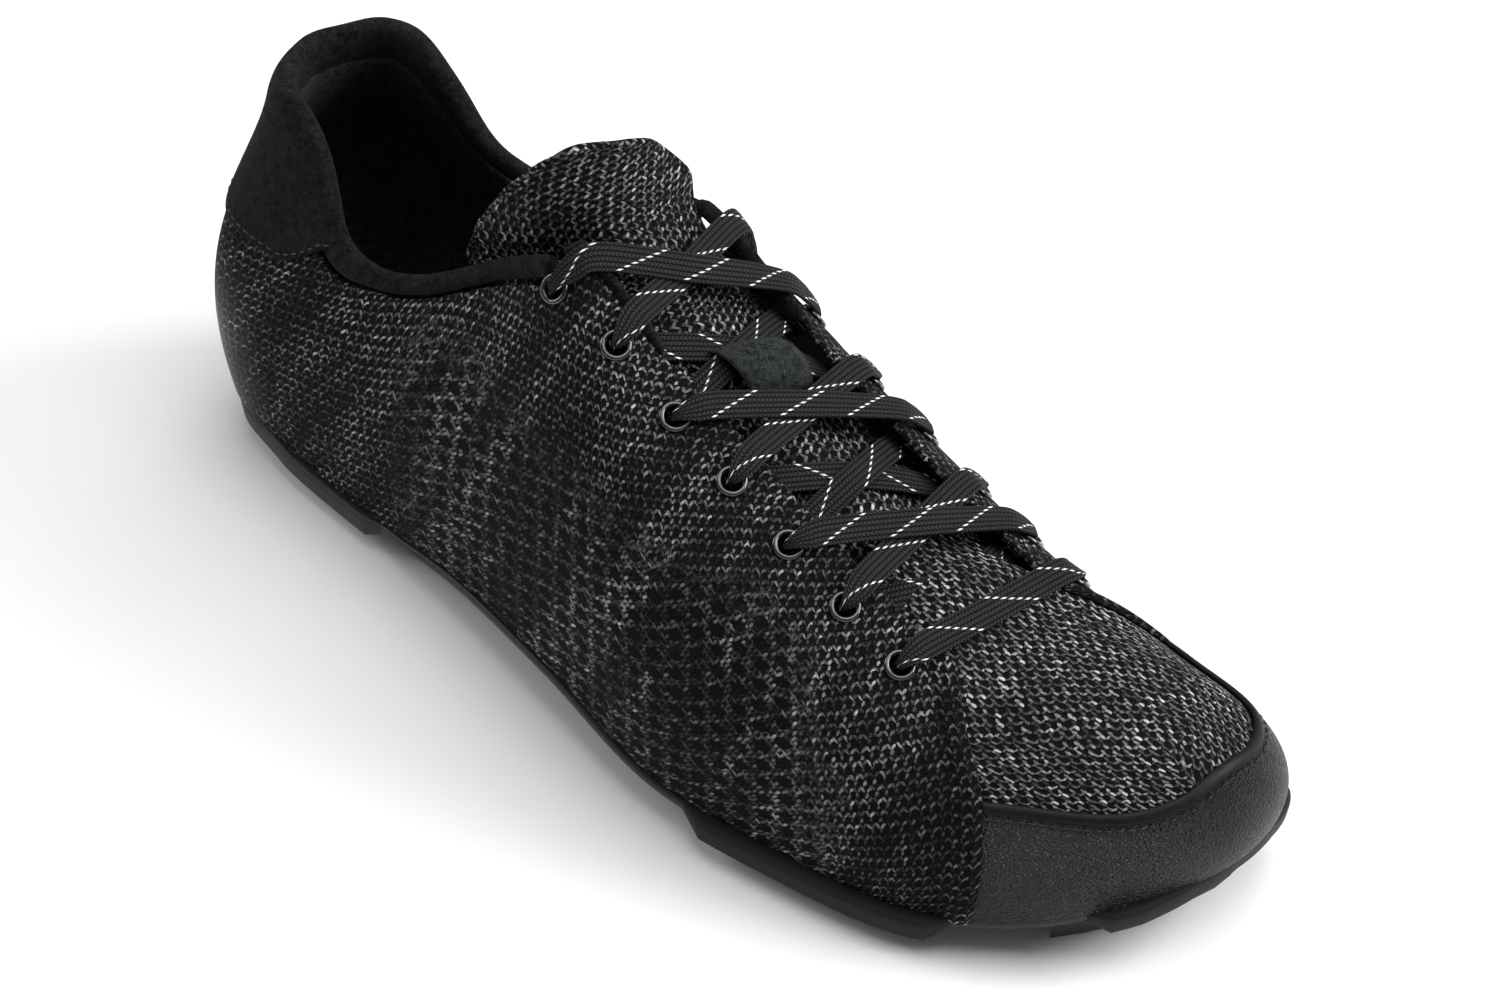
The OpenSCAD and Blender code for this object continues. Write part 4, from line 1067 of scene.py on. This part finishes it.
def tongue_free(t, across, depth):
    """The free end, bowed round the front of the ankle."""
    q = smooth(FREE_END, t - FREE_FROM)
    run = smooth(FREE_END, t - FREE_FROM + 0.05) - smooth(FREE_END, t - FREE_FROM - 0.05)
    n = unit(np.stack([run[..., 1], 0 * t, -run[..., 0]], -1))
    bend = q[..., 2] * np.where(across > 0, 1.2, 1)
    angle = across * q[..., 3] * np.where(across > 0, 0.75, 1) / bend
    r = bend + depth
    middle = np.stack([q[..., 0], 5 + 0 * t, q[..., 1]], -1)
    sideways = (r * np.sin(angle))[..., None] * np.array([0.35, 1, -0.25])
    return middle + sideways + n * (r * np.cos(angle) - bend)[..., None]


def tongue_at(t, across, depth):
    across = across * np.sqrt(1 - np.clip((t - 6.9) / 1.06, 0, 1) ** 2)
    blend = ease((t - 3.9) / 1.2)[..., None]
    # The wings reach back to the collar on the outer side and forward on the inner side.
    outer = np.clip((-across - 0.2) / 0.8, 0, 1) ** 1.5
    inner = np.clip((across - 0.3) / 0.7, 0, 1) ** 1.5 * np.exp(-((t - 5.6) / 0.9) ** 2)
    back = read_at(t, OUTER_WING[:, 0], OUTER_WING[:, 1:])
    wings = outer[..., None] * back + inner[..., None] * np.array([3, 4, 0])
    return mix(tongue_low(t, across, depth), tongue_free(t, across, depth), blend) + wings


def bend_tongue(piece):
    """Bakes the piece's placement into its mesh; nothing bends it."""
    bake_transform(piece)


def tongue():
    knit = shell("tongue_knit", tongue_at, fine(0.2, 7.9, 150), fine(-1, 1, 70), 0.0, -TONGUE_T, zero=36)
    dress(knit, "tongue_knit", "fine_knit", "tongue", "tongue_top", body=None)
    bend_tongue(knit)
    sewn_in(knit)

    def pad_place(t, across, depth):
        puff = np.clip(1 - (abs(across) / 0.84) ** 4, 0, 1) * np.clip((7.5 - t) * 3, 0, 1)
        deep = np.where(depth < -2, -TONGUE_T - 0.4 - 2.0 * np.sqrt(puff), -TONGUE_T - 0.4)
        return tongue_at(t, across, deep)

    pad = shell("tongue_pad_suede", pad_place, fine(1.2, 7.3, 110), fine(-0.84, 0.84, 50), -1.8, -4.4)
    dress(pad, "inner_suede_with_painted_light", "foam", "tongue_pad", "tongue_top_pad", body=None)
    bend_tongue(pad)
    # A knitted hem round the free end.
    inset, last = 0.99, 7.88
    edge_t = np.linspace(4.5, last, 80)
    ahead = tongue_at(edge_t, -inset + 0 * edge_t, -TONGUE_T / 2)
    over = tongue_at(np.full(50, last), np.linspace(-inset, inset, 50), -TONGUE_T / 2)
    back = tongue_at(edge_t[::-1], inset + 0 * edge_t, -TONGUE_T / 2)
    path, = resampled(np.concatenate([ahead, over[1:-1], back]), 1.0)
    _, across, up = frames_along(path, path - path.mean(0))
    turn = turns(14)
    hem = tube("tongue_hem", swept(path, across, up, 0.8 * np.cos(turn), 0.8 * np.sin(turn)))
    dress(hem, "tongue_knit", "fine_knit", body=None)
    bend_tongue(hem)


def keeper():
    """Nubuck strap on the tongue that the lace runs under."""
    first, last = 3.02, 3.5

    def place(t, y, depth):
        arch = np.clip(np.sin(np.pi * (t - first) / (last - first)), 0, 1)
        return tongue_at(t, y / 29, depth + 0.3 + 5.6 * arch**0.45)

    t = mix(first, last, (1 - np.cos(np.linspace(0, np.pi, 60))) / 2)
    strap = shell("keeper_nubuck", place, t, fine(-7.5, 9.5, 30), 1.1, 0.0)
    dress(strap, "nubuck", "nubuck", "lace_keeper")


tongue()
keeper()

# ---------------------------------------------------------------- lace
OVER = (2.3, 1.8)       # height above the panels, beside an eyelet and at the lacing edge
UNDER = (-5.4, -4.9)    # the same below them
EYELET_ENDS = (1.4, -4.6)    # where the lace enters and leaves an eyelet
# The free end inside the shoe: station, v and depth.
TAIL = [(4.75, 0.62, -6.5), (4.45, 0.50, -7.5), (4.4, 0.34, -8), (4.6, 0.22, -9), (5.1, 0.175, -10.5),
        (5.8, 0.17, -12), (6.6, 0.185, -12.5), (7.3, 0.20, -12.5)]
# Eyelets that each crossing joins, counted from the ankle, and whether it lies over the facings.
CHAIN = [(6, 5, False), (5, 4, True), (4, 3, False), (3, 2, True), (2, 1, False), (1, 0, True)]


def station_on_line(side, reach, a, b):
    """Where a straight lace from a to b passes over a line at that distance from the instep line."""
    s = np.linspace(4.6, 9.2, 240)
    p = at_reach(side, s, reach)
    over = a[0] + (b[0] - a[0]) * (p[:, 1] - a[1]) / (b[1] - a[1])
    return float(np.interp(0, p[:, 0] - over, s))


def lie(a, b, n):
    return unit(np.cross(b - a, n))


def crossing(side, k0, k1, levels, middle):
    """Lace rows (point, width direction, width, thickness) from one eyelet across to another."""
    a, b = eyelet_points(side)[k0], eyelet_points(-side)[k1]
    beside = mix(EYELET_REACH, FACING_REACH, 0.45)

    def half(side):
        """Station and place of the lacing edge, the lace there and beside its eyelet, and the way out."""
        near, far = (station_on_line(side, reach, a, b) for reach in (FACING_REACH, beside))
        normal = normal_at(side, near, v_of_reach(side, near, FACING_REACH))
        edge, at_edge = (at_reach(side, near, FACING_REACH, depth) for depth in (0, levels[1]))
        return near, edge, at_edge, at_reach(side, far, beside, levels[0]), normal

    sa, edge_a, to_a, start, na = half(side)
    sb, edge_b, to_b, finish, nb = half(-side)
    up = facing_up(np.float64((sa + sb) / 2))
    return [
        (start, lie(start, to_a, na), LACE_W * 0.92, LACE_T),
        (to_a, lie(start, to_b, na), LACE_W, LACE_T),
        ((edge_a + edge_b) / 2 + middle * up, lie(to_a, to_b, up), LACE_W, LACE_T),
        (to_b, lie(to_a, finish, nb), LACE_W, LACE_T),
        (finish, lie(to_b, finish, nb), LACE_W * 0.92, LACE_T),
    ]


def threading(side, k, ends, w0, w1):
    """Rows through an eyelet, where the lace bunches up and its width swings round."""
    return [(eyelet_points(side, mix(*ends, t))[k], unit(mix(w0, w1, 0.25 + t / 2)), 2.3, 1.4)
            for t in (0, 0.5, 1)]


def half_lace(side, level_over, level_under):
    """From the toe end of one side to the ankle, every crossing in order."""
    legs = []
    for i, (k0, k1, above) in enumerate(CHAIN):
        start = side if i % 2 == 0 else -side
        levels, middle = (OVER, level_over) if above else (UNDER, level_under)
        legs.append(crossing(start, k0, k1, levels, middle))
    rows = threading(side, 6, EYELET_ENDS, np.array([1.0, 0, 0]), legs[0][0][1])
    for i, (k0, k1, above) in enumerate(CHAIN):
        to = -side if i % 2 == 0 else side
        ahead = legs[i + 1][0][1] if i < 5 else np.array([1, 0, 0.2])
        ends = EYELET_ENDS if above else EYELET_ENDS[::-1]
        rows += legs[i] + threading(to, k1, ends, legs[i][4][1], ahead)
    return rows


def tail(side):
    """The free end, inside the shoe: down the side, then forward along the footbed."""
    hanging, turning = np.array([1.0, 0, 0]), unit(np.array([1, 0, 0.9]))
    lying = np.array([0, 0.25 * side, 1])
    rows = [(eyelet_points(side, -5.6)[0], np.array([1, 0, 0.2]), 5, 1.5)]
    for i, place in enumerate(TAIL):
        width = hanging if i < 3 else turning if i == 3 else lying
        rows.append((skin(side, *place), width, LACE_W, LACE_T))
    return rows


def lace_rows():
    """All the rows, from the outer side's free end to the inner side's."""
    bar = crossing(LATERAL, 6, 6, OVER, 2)
    rows = (tail(LATERAL)[::-1] + half_lace(LATERAL, 3.2, -0.3)[::-1] + bar
            + half_lace(MEDIAL, 1.5, -2.0) + tail(MEDIAL))
    points, widths = (np.array([row[k] for row in rows]) for k in (0, 1))
    for i in range(1, len(widths)):
        if widths[i] @ widths[i - 1] < 0:
            widths[i] = -widths[i]
    return points, widths, np.array([row[2:] for row in rows], float)


def lace():
    points, widths, sizes = lace_rows()
    index = np.arange(len(points))
    k = np.linspace(0, len(points) - 1, 12 * len(points))
    width, size = unit(read_at(k, index, widths)), read_at(k, index, sizes)
    path, width, size = resampled(smooth(points, k), 0.9, width, size)
    ahead = unit(np.gradient(path, axis=0))
    width = unit(width - (width * ahead).sum(1)[:, None] * ahead)
    # Five lengthwise ribs on both faces and rounded edges.
    around = 44
    turn = turns(around)
    flat_x = squared(np.cos(turn), 0.75)
    flat_y = squared(np.sin(turn), 0.38) * (1 - 0.16 * abs(np.cos(np.pi * flat_x * 2.5)) ** 3)
    rings = swept(path, width, np.cross(ahead, width), size[:, :1] / 2 * flat_x, size[:, 1:] / 2 * flat_y)
    piece = tube("lace_braid", rings)
    # UV: mm along the lace, and mm across it on both faces.
    along = travelled(path)
    corner = np.array([c.vertex_index for c in piece.data.loops])
    ring, spot = np.minimum(corner // around, len(path) - 1), corner % around
    uv = np.stack([along[ring], LACE_W / 2 * flat_x[spot]], -1)
    piece.data.uv_layers["cloth"].data.foreach_set("uv", uv.ravel())
    dress(piece, "lace", "lace", "lace")
    tips = []
    for side in SIDES:
        before, end = (row[0] for row in tail(side)[-2:])
        ahead = unit(end - before)
        tips.append(standing([0, 0, 1.0], ahead, end + ahead * 0.3))
    tip = [(0.01, 0), (1.3, 0), (1.5, 0.4), (1.5, 17), (1.3, 17.8), (0.01, 18)]
    aglets = dress(lathe("lace_tips", tip, tips, 28), "aglet", "aglet", "aglets")


lace()

# ---------------------------------------------------------------- sole
MID_X, HALF_LENGTH = 1, 137


def ground_plan(s, c, inset, dz):
    """A point of the bottom: c = -1 at the outer edge and 1 at the inner, drawn in by inset."""
    a, b = feather(LATERAL, s), feather(MEDIAL, s)
    half = (b - a) / 2
    wide = norm(half * [1, 1, 0])
    keep = np.maximum(wide - inset, 2.5) / np.maximum(wide, 1e-6)
    p = (a + b) / 2 + half * (c * keep)[..., None]
    x = MID_X + (p[..., 0] - MID_X) * (1 - inset / HALF_LENGTH)
    return np.stack([x, p[..., 1], p[..., 2] + dz], -1)


def footbed():
    def place(s, c, depth):
        rim = abs(c) ** 4 * mix(6, 1.5, np.clip((s - 2.5) / 4, 0, 1))
        arch = np.where(c > 0, 4 * c * c * np.exp(-((s - 4.6) / 1.3) ** 2), 0)
        return ground_plan(s, c, 6.0, 7.6 + rim + arch + depth)
    bed = shell("footbed_cloth", place, fine(0.3, 10.8, 110), fine(-1, 1, 50), 0.0, -2.4)
    dress(bed, "footbed", "footbed", "footbed")


footbed()


def rim(name, side, s, reach, low, material, slot, closed=False):
    """A band of the sole that stands out past the upper's lower edge by reach and goes down by low."""
    foot = np.where(side[:, None] < 0, feather(LATERAL, s), feather(MEDIAL, s))
    foot = np.where(side[:, None] < 0, feather(LATERAL, s), feather(MEDIAL, s))
    along = unit(np.gradient(foot, axis=0) * [1, 1, 0])
    out = np.stack([along[:, 1], -along[:, 0], 0 * s], -1)
    out = out * np.sign((out * (foot - [MID_X, 5, 0])).sum(1))[:, None]
    turn = turns(28)
    reach = np.broadcast_to(reach, s.shape)[:, None]
    wide, high = (reach + 4) / 2, low / 2
    from_end = np.minimum(np.arange(len(s)), np.arange(len(s))[::-1])[:, None]
    ends = 1 if closed else np.interp(from_end, [0, 5], [0.35, 1])
    x = squared(np.cos(turn), 0.45) * wide * ends + (reach - wide)
    z = squared(np.sin(turn), 0.45) * high * ends + (0.6 - high * ends)
    # The lower edge is drawn in a little.
    x = x + 0.12 * np.minimum(z, 0)
    rings = swept(foot, out, np.array([[0, 0, 1]]), x, z)
    dress(tube(name, rings, closed), material, slot)


def sole_rims():
    k = np.linspace(-LAST, LAST, 400)[:-1]
    reach = np.interp(abs(k), [0, 2.5, 3.5, 9, 10.2, LAST], [-0.8, -0.8, 1.0, 1.0, 0, -0.5])
    rim("plate_rim", sides_of(k), abs(k), reach, 2.8, "plate", "plate", closed=True)
    k = np.linspace(-3.3, 3.3, 150)
    reach = np.interp(abs(k), [0, 1.2, 2.2], [-0.6, -0.3, 2.0])
    rim("heel_tread_rim", sides_of(k), abs(k), reach, 6.6, "heel_tread", "tread_rubber")
    ball = np.linspace(6.3, 8.3, 60)
    for side in SIDES:
        rim(SIDES[side] + "_tread_rim", np.full(60, side), ball, 3.6, 6.8, "tread", "tread_rubber")
    k = np.linspace(-1.65, 1.65, 90)
    reach = np.interp(abs(k), [0, 0.6, 1.2], [0.4, 1.4, 3.6])
    rim("toe_tread_rim", sides_of(k), LAST - abs(k), reach, 6.4, "tread", "tread_rubber")


sole_rims()

# The materials of the CAD nodes that stay as they are.
PAINTED = {
    "plate": ["outsole"],
    "tread": ["lateral_tread", "medial_tread", "toe_tread"],
    "heel_tread": ["heel_tread"],
    "steel": ["tread_screws", "cleat_plate"],
    "seal": ["cleat_seal"],
    "board": ["insole_board"],
    "stiffener": ["heel_counter", "toe_puff"],
}
for material, nodes in PAINTED.items():
    for node in nodes:
        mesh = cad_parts[node].data
        mesh.materials.clear()
        mesh.materials.append(MATERIALS[material])


# ---------------------------------------------------------------- stage, light and camera
CAMERA_AZIMUTH, CAMERA_ELEVATION, CAMERA_ROLL = np.radians([40.91, 43.72, 1.53])
CAMERA_DISTANCE = 0.988


def stage():
    net = Net("paper")
    x, y, _ = net.place(0.004)
    paper = net.finish(net.blend(net.noise(x, y), (0.90, 0.90, 0.90), (0.94, 0.94, 0.94)), 0.9)
    size, drop = 3000, -0.4
    corners = [(-size, -size, drop), (size, -size, drop), (size, size, drop), (-size, size, drop)]
    floor = add_mesh("floor", corners, np.array([[0, 1, 2, 3]]))
    floor.data.materials.append(paper)


def area_light(name, where, aim, size, power):
    data = bpy.data.lights.new(name, "AREA")
    data.shape = "RECTANGLE"
    data.size, data.size_y = size
    data.energy = power
    lamp = bpy.data.objects.new(name, data)
    scene.collection.objects.link(lamp)
    lamp.location = where
    lamp.rotation_euler = (Vector(aim) - Vector(where)).to_track_quat("-Z", "Y").to_euler()


def lights():
    world = bpy.data.worlds.new("studio")
    scene.world = world
    world.use_nodes = True
    world.node_tree.nodes["Background"].inputs["Color"].default_value = (1, 1, 1, 1)
    world.node_tree.nodes["Background"].inputs["Strength"].default_value = 0.2
    area_light("overhead", (0.1, 0.15, 1.3), (0, 0, 0.05), (1.3, 1.0), 14)
    area_light("behind_right", (0.8, 0.7, 0.75), (0.05, 0, 0.05), (0.8, 0.5), 16)
    area_light("heel_side", (-1.0, -0.45, 0.55), (-0.08, 0, 0.05), (0.5, 0.7), 5)


def camera():
    """The photo's camera, seen from the outer side and above."""
    back = Vector((0, -math.cos(CAMERA_ELEVATION), math.sin(CAMERA_ELEVATION)))
    back = Matrix.Rotation(CAMERA_AZIMUTH, 3, "Z") @ back
    data = bpy.data.cameras.new("photo_camera")
    data.sensor_width = 36
    data.lens = 107.93
    data.shift_x = 0.023
    view = bpy.data.objects.new("photo_camera", data)
    scene.collection.objects.link(view)
    look = (-back).to_track_quat("-Z", "Y").to_matrix().to_4x4()
    where = Vector((1, 2.5, 45)) * MM + back * CAMERA_DISTANCE
    view.matrix_world = Matrix.Translation(where) @ look @ Matrix.Rotation(CAMERA_ROLL, 4, "Z")
    scene.camera = view


stage()
lights()
camera()
scene.view_settings.view_transform = "Standard"
